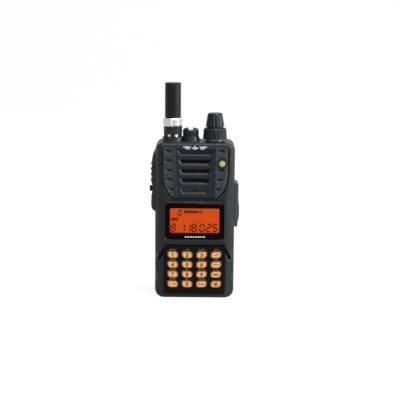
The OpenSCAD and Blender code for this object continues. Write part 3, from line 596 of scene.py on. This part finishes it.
def face_depth(x, z, shape):
    """How far the moulded face lies behind the front plane, and where it is open."""
    ax = np.abs(x)
    face_half = shape.waist_half + (shape.head_half - shape.waist_half) * ease(70, 106, z)
    t = np.clip((ax - face_half) / (HALF_W - face_half), 0, 1)
    shoulder = shape.shoulder_depth * (0.36 * t + 0.64 * t ** 2.6)

    corner = np.hypot(
        np.maximum(ax - (HALF_W - CORNER_TOP_R), 0), np.maximum(z - (CASE_H - CORNER_TOP_R), 0))
    edge = np.where(
        (ax > HALF_W - CORNER_TOP_R) & (z > CASE_H - CORNER_TOP_R), CORNER_TOP_R - corner, CASE_H - z)
    d = np.clip(edge, 0, shape.crown)
    crown = shape.crown - np.sqrt(np.maximum(shape.crown ** 2 - (shape.crown - d) ** 2, 0))
    foot = FOOT_ROUND * (1 - np.clip(z / FOOT_ROUND, 0, 1)) ** 1.5
    depth = (shoulder ** 2 + crown ** 2) ** 0.5 + foot

    # the loudspeaker panel stands a little proud inside a dark groove
    gap = shield_gap(x, z)
    depth = depth + PANEL_RISE * ease(-0.3, 0.3, gap) * (1 - ease(27.6, 28.6, ax)) * ease(70, 76, z)
    groove = np.exp(-(gap / GROOVE_WIDTH) ** 2) * ease(SHIELD_TOP_Z - 0.5, SHIELD_TOP_Z - 3, z)
    depth = depth + GROOVE_DEPTH * groove

    # under it the face falls into a shallow hollow
    hollow = np.exp(-((SHIELD_LOW_Z - 2.0 - z) / 1.3) ** 2) * (1 - ease(17.0, 23.0, ax))
    depth = depth + HOLLOW_DEPTH * hollow

    # the middle column lies lower between two thin ribs, and its bars lean back like louvres
    lean_x = 15.2 + 0.5 * (z - 97) / 18
    column = ease(lean_x - 0.4, lean_x - 1.1, ax) * ease(79.5, 81, z) * (1 - ease(115.2, 116, z))
    depth = depth + COLUMN_DROP * column
    rib = np.exp(-((ax - lean_x) / RIB_WIDTH) ** 2) * ease(78.8, 80.5, z) * (1 - ease(115, 116.5, z))
    depth = depth - RIB_RISE * rib
    open_mask = np.zeros_like(x, dtype=bool)
    for i in range(5):
        half, top, low = slot_edges(i, z, shape)
        blind = i in (0, 4)
        floor = (2.3 if i == 0 else 1.2) if blind else CLOTH_Y - FRONT_Y - 0.05
        across = ease(half + 0.15, half - 0.15, ax)
        inside = across * ease(low - 0.05, low + 0.15, z) * (1 - ease(top - 0.05, top + 0.2, z))
        wide = ease(half + 1.5, half + 0.3, ax)
        ramp = np.clip((z - (low - shape.lip)) / shape.lip, 0, 1) * (z <= low + 0.1)
        depth = np.maximum(depth, np.where(z > low - shape.lip - 0.2, depth + LIP_DEPTH * ramp * wide, depth))
        end_ramp = np.clip((half + 1.5 - ax) / 1.5, 0, 1) * (z > low) * (z < top)
        depth = depth + END_DEPTH * np.where(ax > half, end_ramp, 0.0) * (1 - inside)
        next_top = top - shape.slot_pitch
        lean = np.clip((low - shape.lip - z) / (low - shape.lip - next_top), 0, 1) * (z > next_top)
        depth = depth + LEAN_DEPTH * lean * across * (z < low - shape.lip)
        depth = depth * (1 - inside) + np.maximum(depth, floor) * inside
        if not blind:
            open_mask |= (ax < half - 0.45) & (z < top - 0.3) & (z > low + 0.4)

    for i in range(5):
        top = SLOT_TOP_Z - i * shape.slot_pitch
        for side in (-1, 1):
            if side > 0 and i == 1:
                continue
            u = np.abs(x - side * (LOUVRE_X[i] - 0.25 * (top - z)))
            wide = ease(LOUVRE_HALF[i] + 0.1, LOUVRE_HALF[i] - 0.3, u)
            fall = np.clip((z - (top - 3.0)) / 3.0, 0, 1)
            depth = depth + LOUVRE_DEPTH * fall * wide * (1 - ease(top - 0.1, top + 0.2, z))

    # seat of the lamp, the microphone's hole
    lamp = np.hypot(x - LAMP.x, z - LAMP.z)
    depth = depth + LAMP_SEAT * (1 - ease(3.7, 4.2, lamp))
    hole = np.hypot(x, z - MIC_Z)
    depth = depth + MIC_DEPTH * (1 - ease(0.5, 0.9, hole))

    # seat of the display window, with a ledge under it
    wx, wz = (WINDOW[0].x + WINDOW[1].x) / 2, (WINDOW[0].z + WINDOW[1].z) / 2
    ww, wh = (WINDOW[1].x - WINDOW[0].x) / 2, (WINDOW[1].z - WINDOW[0].z) / 2
    gap = rect_gap(x, z, wx, wz, ww + SEAT_GAP, wh + SEAT_GAP, 2.6)
    depth = depth + WINDOW_SEAT * ease(0.05, -0.25, gap)
    ledge = np.exp(-((gap - 0.75) / 0.45) ** 2) * ease(wz - wh + 3.5, wz - wh + 1.0, z)
    depth = depth - LEDGE_RISE * ledge * (ax < 24.5)
    below = ease(0.9, 1.6, gap) * ease(wz - wh + 1, wz - wh - 0.6, z)
    below = below * ease(BLOCK_TOP_Z - 0.2, BLOCK_TOP_Z + 0.6, z)
    depth = depth + 0.22 * below * (ax < 23)
    lcd_x, lcd_z = (LCD[0].x + LCD[1].x) / 2, (LCD[0].z + LCD[1].z) / 2
    view_gap = rect_gap(x, z, lcd_x, lcd_z, 20.4, 11.4, 1.0)
    open_mask |= view_gap < -0.1

    # the keypad block, a step lower, with slanted upper corners
    slant = (ax - BLOCK_TOP_HALF) * BLOCK_SLOPE
    gap = (z - (BLOCK_TOP_Z - np.maximum(slant, 0))) / np.where(slant > 0, math.hypot(1, BLOCK_SLOPE), 1.0)
    reach = 1 - ease(27.6, 29.2, ax)
    depth = depth + shape.block_drop * ease(0.2, -0.5, gap) * reach
    trench = np.exp(-((gap + 1.2) / 1.0) ** 2) * np.where(slant > -1.5, 1.0, 0.5) * reach
    depth = depth + TRENCH_DEPTH * trench * ease(28.5, 30.5, z)
    px, pz = (PANEL[0].x + PANEL[1].x) / 2, (PANEL[0].z + PANEL[1].z) / 2
    pw, ph = (PANEL[1].x - PANEL[0].x) / 2, (PANEL[1].z - PANEL[0].z) / 2
    gap = rect_gap(x, z, px, pz, pw + SEAT_GAP, ph + SEAT_GAP, 2.1)
    depth = depth + PANEL_SEAT * ease(0.05, -0.25, gap)
    neck = rect_gap(x, z, px, pz, pw - 1.2, ph - 1.2, 1.0)
    open_mask |= neck < -0.2

    for cz in SCOOP_Z:
        reach = SCOOP_R ** 2 - (ax - (HALF_W + 5.4)) ** 2 - (z - cz) ** 2
        cut = -13.7 - FRONT_Y + np.sqrt(np.maximum(reach, 0))
        depth = np.where(reach > 0, np.maximum(depth, np.minimum(cut, depth + 1.6)), depth)
    return depth, open_mask


def moulded_front(shape):
    """Points and faces of the front case: its face, its rim back to the parting line and its inner skin."""
    step = shape.cell
    fine = [0.0, 0.06, 0.14, 0.24, 0.36]
    rows = list(fine) + list(np.arange(0.5, CASE_H - 0.5, step * 0.85)) + [CASE_H - f for f in fine[::-1]]
    rows += [TOP_PART_Z - 0.01, TOP_PART_Z + 0.01]
    z_line = np.array(sorted(rows))
    half_count = int(HALF_W / step)
    inner = np.linspace(0, HALF_W - 0.5, half_count)
    border = [HALF_W - 0.36, HALF_W - 0.24, HALF_W - 0.14, HALF_W - 0.06, HALF_W]
    line = np.concatenate([inner, border]) / HALF_W
    s_line = np.concatenate([-line[:0:-1], line])
    half = outline_half(z_line)
    x = s_line[None, :] * half[:, None]
    z = np.repeat(z_line[:, None], len(s_line), axis=1)
    depth, open_mask = face_depth(x, z, shape)
    y = FRONT_Y + depth
    rows_n, cols_n = x.shape
    count = rows_n * cols_n
    inner_y = np.maximum(y + SKIN_MM, CLOTH_Y - 0.02)
    top = np.stack([x, y, z], axis=-1).reshape(-1, 3)
    under = np.stack([x * 0.985, inner_y, z * 0.985 + 0.8], axis=-1).reshape(-1, 3)
    index = np.arange(count).reshape(rows_n, cols_n)
    a, b = index[:-1, :-1], index[:-1, 1:]
    c, d = index[1:, 1:], index[1:, :-1]
    shut = ~(open_mask[:-1, :-1] & open_mask[:-1, 1:] & open_mask[1:, 1:] & open_mask[1:, :-1])
    quads = np.stack([a[shut], b[shut], c[shut], d[shut]], axis=-1)
    flipped = quads[:, ::-1] + count
    faces = [tuple(q) for q in quads.tolist()] + [tuple(q) for q in flipped.tolist()]

    # walls of the openings
    edges = {}
    for q in quads.tolist():
        for i in range(4):
            e = (q[i], q[(i + 1) % 4])
            if (e[1], e[0]) in edges:
                del edges[(e[1], e[0])]
            else:
                edges[e] = True
    rim = (
        list(index[0, :]) + list(index[1:, -1]) + list(index[-1, -2::-1]) + list(index[-2:0:-1, 0]))
    rim_pairs = {(int(rim[i]), int(rim[(i + 1) % len(rim)])) for i in range(len(rim))}
    for e0, e1 in edges:
        if (e0, e1) in rim_pairs or (e1, e0) in rim_pairs:
            continue
        faces.append((e1, e0, e0 + count, e1 + count))

    # the rim: back along the sides, round the parting line and forward again inside
    base = top[rim]
    part = np.where(base[:, 2] > TOP_PART_Z, TOP_PART_Y, SIDE_PART_Y)
    mid_z = CASE_H / 2
    loops = []
    for inset, where in ((0.0, "near"), (0.0, "far"), (0.25, "part"), (2.0, "part"), (2.0, "near")):
        narrow, low = 1 - inset / HALF_W, 1 - inset / mid_z
        ring_points = np.stack([base[:, 0] * narrow, base[:, 1], mid_z + (base[:, 2] - mid_z) * low], axis=-1)
        if where == "near":
            ring_points[:, 1] = base[:, 1] + (0.4 if inset == 0 else 2.4)
        elif where == "far":
            ring_points[:, 1] = part - 0.25
        else:
            ring_points[:, 1] = part
        loops.append(ring_points)
    verts = np.concatenate([top, under] + loops)
    n = len(rim)
    ids = [list(map(int, rim))] + [[2 * count + k * n + i for i in range(n)] for k in range(len(loops))]
    ids.append([int(r) + count for r in rim])
    for k in range(len(ids) - 1):
        for i in range(n):
            j = (i + 1) % n
            faces.append((ids[k][j], ids[k][i], ids[k + 1][i], ids[k + 1][j]))
    used = np.unique(np.array([i for face in faces for i in face]))
    moved = np.full(len(verts), -1)
    moved[used] = np.arange(len(used))
    moved = moved.tolist()
    return verts[used].tolist(), [tuple(moved[i] for i in face) for face in faces]


class RADIO_OT_front_case(bpy.types.Operator):
    """Moulds the front case: face, loudspeaker panel, seats, steps and finger scoops"""

    bl_idname = "radio.front_case"
    bl_label = "Front case"

    def execute(self, context):
        verts, faces = moulded_front(context.scene.radio_shape)
        bosses = [
            turned(ANTENNA_X, 0, [(5.2, 118), (9.0, 119.4), (8.4, 120.1), (8.1, 120.5), (8.0, 121.3),
                                  (8.0, 122.8), (7.8, 123.1), (5.2, 123.2)]),
            turned(SOCKET_X, 0, [(4.7, 118), (8.0, 119.4), (7.5, 120.1), (7.1, 120.8), (6.8, 122.2),
                                 (6.5, 123.3), (6.2, 123.9), (5.7, 124.0), (4.7, 124.0)]),
            turned(KNOB_X, 0, [(4.7, 118), (8.5, 119.4), (7.9, 120.0), (7.4, 120.35), (7.2, 120.8),
                               (4.7, 120.8)]),
        ]
        verts, faces = merge([(verts, faces)] + bosses)
        shell = piece("front_shell", verts, faces, "case", "radio", "case_plastic", ["front_case"], sharp=38)
        # the black panel finish also serves as painted shadow on the face below the keypad step
        shell.data.materials.append(FINISHES["panel"])
        shell.data.materials.append(FINISHES["fields"])
        # faces in a band under the keypad block's upper edge and slanted corners take the black panel finish:
        # a painted shadow along the step and trench
        for face in shell.data.polygons:
            x, y, z = (c / MM for c in face.center)
            slant = max((abs(x) - BLOCK_TOP_HALF) * BLOCK_SLOPE, 0)
            below = BLOCK_TOP_Z - slant - z
            painted_shadow_band = 5.0 if slant > 0 else 20.0
            if y < FRONT_Y + 5 and z > 29.6 and 0.2 < below < painted_shadow_band and abs(x) < 28.6:
                face.material_index = 1
            # the loudspeaker panel's side fields take the paler finish: painted light
            elif y < FRONT_Y + 3 and abs(x) > 15.8 and shield_gap(x, z) < -0.5:
                face.material_index = 2
        return {"FINISHED"}


# ---------- display ----------

VIEW_HALF_W = 18.85
VIEW_HALF_H = 9.5
VIEW_Z = 60.45


class RADIO_OT_display(bpy.types.Operator):
    """Builds the display window: a gloss border with a clear pane in it"""

    bl_idname = "radio.display"
    bl_label = "Display window"

    def execute(self, context):
        low, high = WINDOW
        x, z = (low.x + high.x) / 2, (low.z + high.z) / 2
        w, h = (high.x - low.x) / 2, (high.z - low.z) / 2
        radii = [1.0, 1.0, 2.6, 2.6]
        view_z = VIEW_Z - z
        outer = rounded(w, h, radii, 8)
        face = rounded(w - 0.35, h - 0.35, [r - 0.2 for r in radii], 8)
        inner = [(px, pz + view_z) for px, pz in rounded(VIEW_HALF_W, VIEW_HALF_H, [1.2] * 4, 8)]
        loops = [
            [(x + p[0], low_y, z + p[1]) for p in outline]
            for outline, low_y in (
                (outer, high.y), (outer, low.y + 0.3), (face, low.y), (inner, low.y),
                (inner, high.y))
        ]
        verts, faces = stack(loops, closed_ends=False)
        n = len(outer)
        faces += [(4 * n + i, 4 * n + (i + 1) % n, (i + 1) % n, i) for i in range(n)]
        piece("window_border", verts, faces, "border", "radio", "window_acrylic", ["display_window"])
        pane = stack([[(x + p[0], y, z + p[1]) for p in inner] for y in (low.y + 0.5, low.y + 0.05)])
        piece("window_pane", *pane, "pane", "radio", "window_acrylic")
        return {"FINISHED"}


SEGMENTS = {
    "0": "abcdef", "1": "bc", "2": "abged", "3": "abgcd", "4": "fgbc", "5": "afgcd", "6": "afgedc",
    "7": "abc", "8": "abcdefg", "9": "abcfgd",
}


def digit(text, x, z, w, h, y_front, y_back, width, slant=0.12):
    """Strokes of one seven-segment digit that leans to the right."""
    def at(u, v):
        return x + u * w + slant * v * h, z + v * h
    lines = {
        "a": ((0.1, 1), (0.9, 1)), "b": ((1, 0.92), (1, 0.56)), "c": ((1, 0.44), (1, 0.08)),
        "d": ((0.1, 0), (0.9, 0)), "e": ((0, 0.44), (0, 0.08)), "f": ((0, 0.92), (0, 0.56)),
        "g": ((0.12, 0.5), (0.88, 0.5)),
    }
    parts = []
    for key in SEGMENTS[text]:
        (u0, v0), (u1, v1) = lines[key]
        parts.append(bar(*at(u0, v0), *at(u1, v1), width, y_front, y_back))
    return parts


class RADIO_OT_segments(bpy.types.Operator):
    """Draws what the display shows: a generic channel reading, a level meter and a pointer"""

    bl_idname = "radio.segments"
    bl_label = "Display segments"

    def execute(self, context):
        y_back = LCD[0].y
        y_front = y_back - 0.03
        x0 = (LCD[0].x + LCD[1].x) / 2 - 19.0
        z0 = (LCD[0].z + LCD[1].z) / 2 - 10.0
        parts = []
        w, h, width = 3.0, 5.6, 1.0
        for text, x in (
                ("8", 0.7), ("1", 7.9), ("1", 12.3), ("8", 16.8), ("0", 22.8), ("2", 27.8), ("5", 32.7)):
            parts += digit(text, x0 + x, z0 + 2.2, w, h, y_front, y_back, width)
        parts.append(bar(x0 + 21.3, z0 + 2.0, x0 + 21.4, z0 + 2.8, 0.8, y_front, y_back))
        parts += digit("0", x0 + 6.2, z0 + 14.6, 2.2, 4.0, y_front, y_back, 0.85)
        for i in range(9):
            x = x0 + 11.2 + 1.25 * i
            parts.append(bar(x, z0 + 16.2, x + 0.15, z0 + 18.5, 0.95, y_front, y_back))
        cx, cz, r = x0 + 23.8, z0 + 17.3, 1.35
        for a in range(4):
            p, q = math.radians(90 * a), math.radians(90 * a + 90)
            parts.append(bar(
                cx + r * math.cos(p), cz + r * math.sin(p), cx + r * math.cos(q), cz + r * math.sin(q),
                0.6, y_front, y_back))
        parts.append(bar(x0 + 0.6, z0 + 11.6, x0 + 6.2, z0 + 11.6, 2.3, y_front, y_back))
        piece("display_segments", *merge(parts), "segment", "radio", "lcd")
        marks = [
            bar(x0 + 0.9 + 1.25 * i, z0 + 11.6, x0 + 1.5 + 1.25 * i, z0 + 11.6, 1.0, y_front - 0.03, y_front)
            for i in range(4)
        ]
        piece("display_marker_marks", *merge(marks), "amber", "radio", "lcd")
        return {"FINISHED"}


# ---------- keypad ----------

STROKES = {
    "1": "0.2,0.78 0.55,1 0.55,0",
    "2": "0.05,0.75 0.25,0.97 0.7,0.98 0.93,0.72 0.8,0.45 0.05,0.02 0.97,0.02",
    "3": "0.05,0.95 0.6,0.98 0.9,0.76 0.6,0.54 0.35,0.53|0.6,0.54 0.95,0.3 0.7,0.03 0.05,0.05",
    "4": "0.75,0 0.75,1 0.02,0.3 1,0.3",
    "5": "0.9,0.98 0.15,0.98 0.12,0.56 0.65,0.6 0.94,0.3 0.65,0.02 0.05,0.05",
    "6": "0.85,0.97 0.35,0.85 0.08,0.35 0.35,0.02 0.72,0.04 0.93,0.3 0.65,0.56 0.15,0.45",
    "7": "0.03,0.98 0.95,0.98 0.4,0",
    "8": ("0.5,0.54 0.12,0.74 0.35,0.98 0.68,0.98 0.88,0.74 "
          "0.5,0.54 0.08,0.28 0.3,0.02 0.7,0.02 0.93,0.28 0.5,0.54"),
    "9": "0.87,0.55 0.4,0.44 0.08,0.7 0.3,0.97 0.7,0.98 0.92,0.65 0.7,0.15 0.15,0.03",
    "0": "0.5,1 0.14,0.85 0.05,0.5 0.14,0.15 0.5,0 0.86,0.15 0.95,0.5 0.86,0.85 0.5,1",
}


# the keytop's crown: its outline's scale, and how far that loop lies behind the front, in millimetres
KEY_CROWN = ((1.0, 0.95), (0.985, 0.6), (0.94, 0.3), (0.86, 0.13), (0.7, 0.05), (0.4, 0.01), (0.15, 0.0))


def key_lean(number):
    """1 for keys in the two left columns, -1 in the two right ones."""
    return 1 if number % 4 < 2 else -1


def key_shape(number, grow=0.0, steps=8):
    """Outline of a keytop, with two fuller and two softer corners."""
    full, soft = 1.3, 2.2
    radii = [soft, full, soft, full] if key_lean(number) > 0 else [full, soft, full, soft]
    return rounded(3.6 + grow, 2.5 + grow, [r + grow * 0.5 for r in radii], steps)


class RADIO_OT_keys(bpy.types.Operator):
    """Builds the sixteen lit keytops with their crowns, flanges and legends"""

    bl_idname = "radio.keys"
    bl_label = "Keys"

    def execute(self, context):
        for number, name in enumerate(KEYS):
            low, high = box_mm(name)
            x, z = (low.x + high.x) / 2, (low.z + high.z) / 2
            outline = key_shape(number)
            flange = key_shape(number, 0.6)
            loops = [
                [(x + p[0], high.y, z + p[1]) for p in flange],
                [(x + p[0], high.y - 0.6, z + p[1]) for p in flange],
                [(x + p[0], high.y - 0.6, z + p[1]) for p in outline],
            ]
            for scale, drop in KEY_CROWN:
                loops.append([(x + p[0] * scale, low.y + drop, z + p[1] * scale) for p in outline])
            piece("keytop_" + name[4:], *stack(loops), "key", name, "key_silicone", [name], sharp=50)
            strokes = merge(self.legend(name[4:], x, z, low.y))
            piece("legend_" + name[4:], *strokes, "legend", name, "key_silicone")
        return {"FINISHED"}

    def legend(self, what, x, z, y):
        """Strokes of a key's legend: a number, or a plain sign."""
        y_front, y_back = y - 0.02, y + 0.06
        if what in STROKES:
            strokes = []
            for line in STROKES[what].split("|"):
                points = [tuple(map(float, p.split(","))) for p in line.split()]
                for (a, b), (c, d) in zip(points, points[1:]):
                    grow = 0.16 / max(math.hypot(c - a, d - b), 0.1)
                    strokes.append(bar(
                        x + 1.6 * (a - (c - a) * grow - 0.5), z + 2.5 * (b - (d - b) * grow - 0.5),
                        x + 1.6 * (c + (c - a) * grow - 0.5), z + 2.5 * (d + (d - b) * grow - 0.5),
                        0.6, y_front, y_back))
            return strokes
        signs = {
            "check": [(-1.0, 0.1, -0.2, -0.8), (-0.2, -0.8, 1.2, 0.9)],
            "dual": [(-1.9, -0.35, -0.9, 0.55), (-0.6, 0.1, 0.5, 0.1), (0.9, 0.55, 1.9, -0.35)],
            "mode": [(-2.0, 0.35, 2.0, 0.35), (-2.0, -0.4, 2.0, -0.4)],
            "mem": [(-1.6, -0.6, -1.6, 0.6), (-0.6, 0.0, -0.2, 0.0), (0.8, 0.6, 1.8, -0.6),
                    (0.8, -0.6, 1.8, 0.6)],
            "clear": [(-2.1, 0.0, -1.0, 0.0), (-0.6, 0.0, 0.5, 0.0), (0.9, 0.0, 2.1, 0.0)],
            "power": [(-1.1, -0.9, -1.1, 0.9), (-1.1, 0.9, 1.1, 0.9), (1.1, 0.9, 1.1, -0.9),
                      (1.1, -0.9, -1.1, -0.9),
                      (0.0, -0.6, 0.0, 0.6)],
        }
        width = {"power": 0.6, "clear": 0.9, "mode": 0.5}.get(what, 0.5)
        return [bar(x + a, z + b, x + c, z + d, width, y_front, y_back) for a, b, c, d in signs[what]]


class RADIO_OT_key_surrounds(bpy.types.Operator):
    """Adds the light that leaks around each key, and the generic amber marks above it"""

    bl_idname = "radio.key_surrounds"
    bl_label = "Key surrounds"

    def execute(self, context):
        glows, labels = [], []
        y = PANEL[0].y
        for number, name in enumerate(KEYS):
            at = middle(name)
            inside, outside = key_shape(number, 0.27), key_shape(number, 0.6)
            glows.append(ring(inside, outside, at.x, at.z, y - PRINT_MM, y + SUNK_MM))
            spread_x = [2.6, 1.5, 2.6, 1.7][number % 4] if number < 12 or number % 4 != 3 else 0
            steps = int(spread_x / 0.55)
            for i in range(-steps, steps + 1):
                if (i + number) % 5 == 0:
                    continue
                x = at.x + i * 0.55
                labels.append(bar(x, at.z + 3.45, x + 0.06, at.z + 4.25, 0.34, y - PRINT_MM, y + SUNK_MM))
        piece("key_light_rings", *merge(glows), "glow", "radio", "panel_plastic")
        piece("key_labels", *merge(labels), "label", "radio", "panel_plastic")
        return {"FINISHED"}


# ---------- marks ----------

class RADIO_OT_marks(bpy.types.Operator):
    """Prints a plain aeroplane mark over the loudspeaker and a dash rule under the display"""

    bl_idname = "radio.marks"
    bl_label = "Printed marks"

    def execute(self, context):
        y = FRONT_Y
        z = 116.6
        parts = [
            bar(0, z - 1.3, 0, z + 1.4, 0.6, y - 0.05, y + 0.6),
            bar(-2.2, z - 0.2, 2.2, z - 0.2, 0.7, y - 0.05, y + 0.6),
            bar(-0.9, z - 1.1, 0.9, z - 1.1, 0.45, y - 0.05, y + 0.6),
        ]
        for side in (-1, 1):
            for i in range(3):
                inner = side * (3.4 + 0.3 * i)
                outer = side * (9.2 - 1.2 * i)
                row = z + 0.7 - 0.75 * i
                parts.append(bar(inner, row, outer, row, 0.42, y - 0.05, y + 0.6))
        piece("aeroplane_mark", *merge(parts), "print", "radio", "case_plastic")
        base = WINDOW[0]
        dashes = [
            bar(-7.4 + 2.0 * i, base.z + 1.9, -6.2 + 2.0 * i, base.z + 1.9, 0.9, base.y - 0.03, base.y + 0.1)
            for i in range(8)
        ]
        piece("dash_mark", *merge(dashes), "print", "radio", "window_acrylic")
        return {"FINISHED"}


# ---------- frame parts ----------

class RADIO_OT_frame_parts(bpy.types.Operator):
    """Gives every carried-over part its finish and its softened edges"""

    bl_idname = "radio.frame_parts"
    bl_label = "Frame parts"

    def execute(self, context):
        for name, finish in CAD_FINISH.items():
            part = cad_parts[name]
            if not part.material_slots:
                part.data.materials.append(None)
            for slot in part.material_slots:
                slot.material = FINISHES[finish]
            edge = EDGE_MM.get(name)
            if edge:
                soften = part.modifiers.new("soft_edges", "BEVEL")
                soften.width = edge * MM
                soften.segments = 3
                soften.limit_method = "ANGLE"
                soften.angle_limit = math.radians(35)
                soften.harden_normals = True
        return {"FINISHED"}


# ---------- stage ----------

FLOOR_HALF = 12.0
FLOOR_GLOW = 0.84
WALL_Y = 1.8
WALL_TOP = 2.5
BEND = 0.6
WORLD_FRONT = 0.38
WORLD_BACK = 0.6


def lamp(name, place, aim, size, power):
    """A soft square lamp turned towards a point."""
    data = bpy.data.lights.new(name, "AREA")
    data.size = size
    data.energy = power
    made = bpy.data.objects.new(name, data)
    bpy.context.scene.collection.objects.link(made)
    made.location = place
    made.rotation_euler = (Vector(aim) - Vector(place)).to_track_quat("-Z", "Y").to_euler()


class RADIO_OT_stage(bpy.types.Operator):
    """Sets up the pale floor, the soft lamps and the camera"""

    bl_idname = "radio.stage"
    bl_label = "Stage"

    def execute(self, context):
        stage = context.scene.radio_stage
        aim = Vector(stage.aim)
        back = Vector((0, -math.cos(stage.height), math.sin(stage.height)))
        camera = bpy.data.objects.new("camera", bpy.data.cameras.new("camera"))
        context.scene.collection.objects.link(camera)
        camera.data.lens = stage.lens
        camera.data.sensor_width = 36
        camera.data.clip_start = 0.05
        camera.location = aim + back * stage.distance
        turn = (-back).to_track_quat("-Z", "Y").to_matrix()
        camera.rotation_euler = (turn @ Matrix.Rotation(stage.roll, 3, "Z")).to_euler()
        context.scene.camera = camera

        size, rise = FLOOR_HALF, WALL_TOP
        loops = [[(-size, -size, 0), (size, -size, 0)]]
        for i in range(13):
            a = math.radians(90 * i / 12)
            loops.append([
                (s * size, WALL_Y - BEND + BEND * math.sin(a), BEND * (1 - math.cos(a))) for s in (-1, 1)])
        loops.append([(-size, WALL_Y, rise), (size, WALL_Y, rise)])
        verts = [p for loop in loops for p in loop]
        faces = [(2 * i, 2 * i + 1, 2 * i + 3, 2 * i + 2) for i in range(len(loops) - 1)]
        mesh = bpy.data.meshes.new("paper_sweep")
        mesh.from_pydata(verts, [], faces)
        mesh.shade_smooth()
        sweep = bpy.data.objects.new("paper_sweep", mesh)
        context.scene.collection.objects.link(sweep)
        material, tree = blank("backlit_white_acrylic")
        fibre = noise(tree, 4.0)
        tint = spread(tree, fibre.outputs["Fac"], 0.14, 0.16)
        skin = add(
            tree, "ShaderNodeBsdfPrincipled",
            {"Roughness": 0.95, "Specular IOR Level": 0.1, "Emission Color": (1, 1, 1, 1),
             "Emission Strength": FLOOR_GLOW},
            {"Base Color": tint.outputs["Result"]})
        mesh.materials.append(close(material, tree, skin.outputs["BSDF"]))

        # a strong lamp at the right, a weak one at the left and one overhead
        lamp("key_softbox", (1.05, -0.30, 0.55), (0, 0, 0.08), 0.40, 29)
        lamp("fill_softbox", (-0.6, -0.9, 0.55), (0, 0, 0.08), 0.35, 1.5)
        lamp("top_softbox", (0.15, -0.22, 1.10), (0, 0, 0.1), 0.40, 12)
        world = bpy.data.worlds.new("studio")
        world.use_nodes = True
        tree = world.node_tree
        place = add(tree, "ShaderNodeTexCoord")
        axes = add(tree, "ShaderNodeSeparateXYZ", links={"Vector": place.outputs["Generated"]})
        glow = spread(tree, axes.outputs["Y"], WORLD_FRONT, WORLD_BACK, -0.5, 0.8)
        tree.links.new(glow.outputs["Result"], tree.nodes["Background"].inputs["Color"])
        context.scene.world = world
        context.scene.view_settings.view_transform = "Standard"
        return {"FINISHED"}


# ---------- panel and running ----------

OPERATORS = (
    RADIO_OT_stage, RADIO_OT_frame_parts, RADIO_OT_front_case, RADIO_OT_display, RADIO_OT_segments,
    RADIO_OT_keys, RADIO_OT_key_surrounds, RADIO_OT_marks,
)


class RADIO_PT_panel(bpy.types.Panel):
    """Lists the radio's pieces in the sidebar"""

    bl_label = "Radio"
    bl_space_type = "VIEW_3D"
    bl_region_type = "UI"
    bl_category = "Radio"

    def draw(self, context):
        for operator in OPERATORS:
            self.layout.operator(operator.bl_idname)
        for group in (context.scene.radio_shape, context.scene.radio_colours, context.scene.radio_stage):
            for key in group.__annotations__:
                self.layout.prop(group, key)


CLASSES = (RadioShape, RadioColours, RadioStage) + OPERATORS + (RADIO_PT_panel,)


def register():
    for cls in CLASSES:
        bpy.utils.register_class(cls)
    bpy.types.Scene.radio_shape = PointerProperty(type=RadioShape)
    bpy.types.Scene.radio_colours = PointerProperty(type=RadioColours)
    bpy.types.Scene.radio_stage = PointerProperty(type=RadioStage)


def unregister():
    for key in ("radio_shape", "radio_colours", "radio_stage"):
        delattr(bpy.types.Scene, key)
    for cls in reversed(CLASSES):
        bpy.utils.unregister_class(cls)


def main():
    register()
    FINISHES.update(make_finishes(bpy.context.scene.radio_colours))
    for operator in OPERATORS:
        group, name = operator.bl_idname.split(".")
        getattr(getattr(bpy.ops, group), name)()


if __name__ == "__main__":
    main()
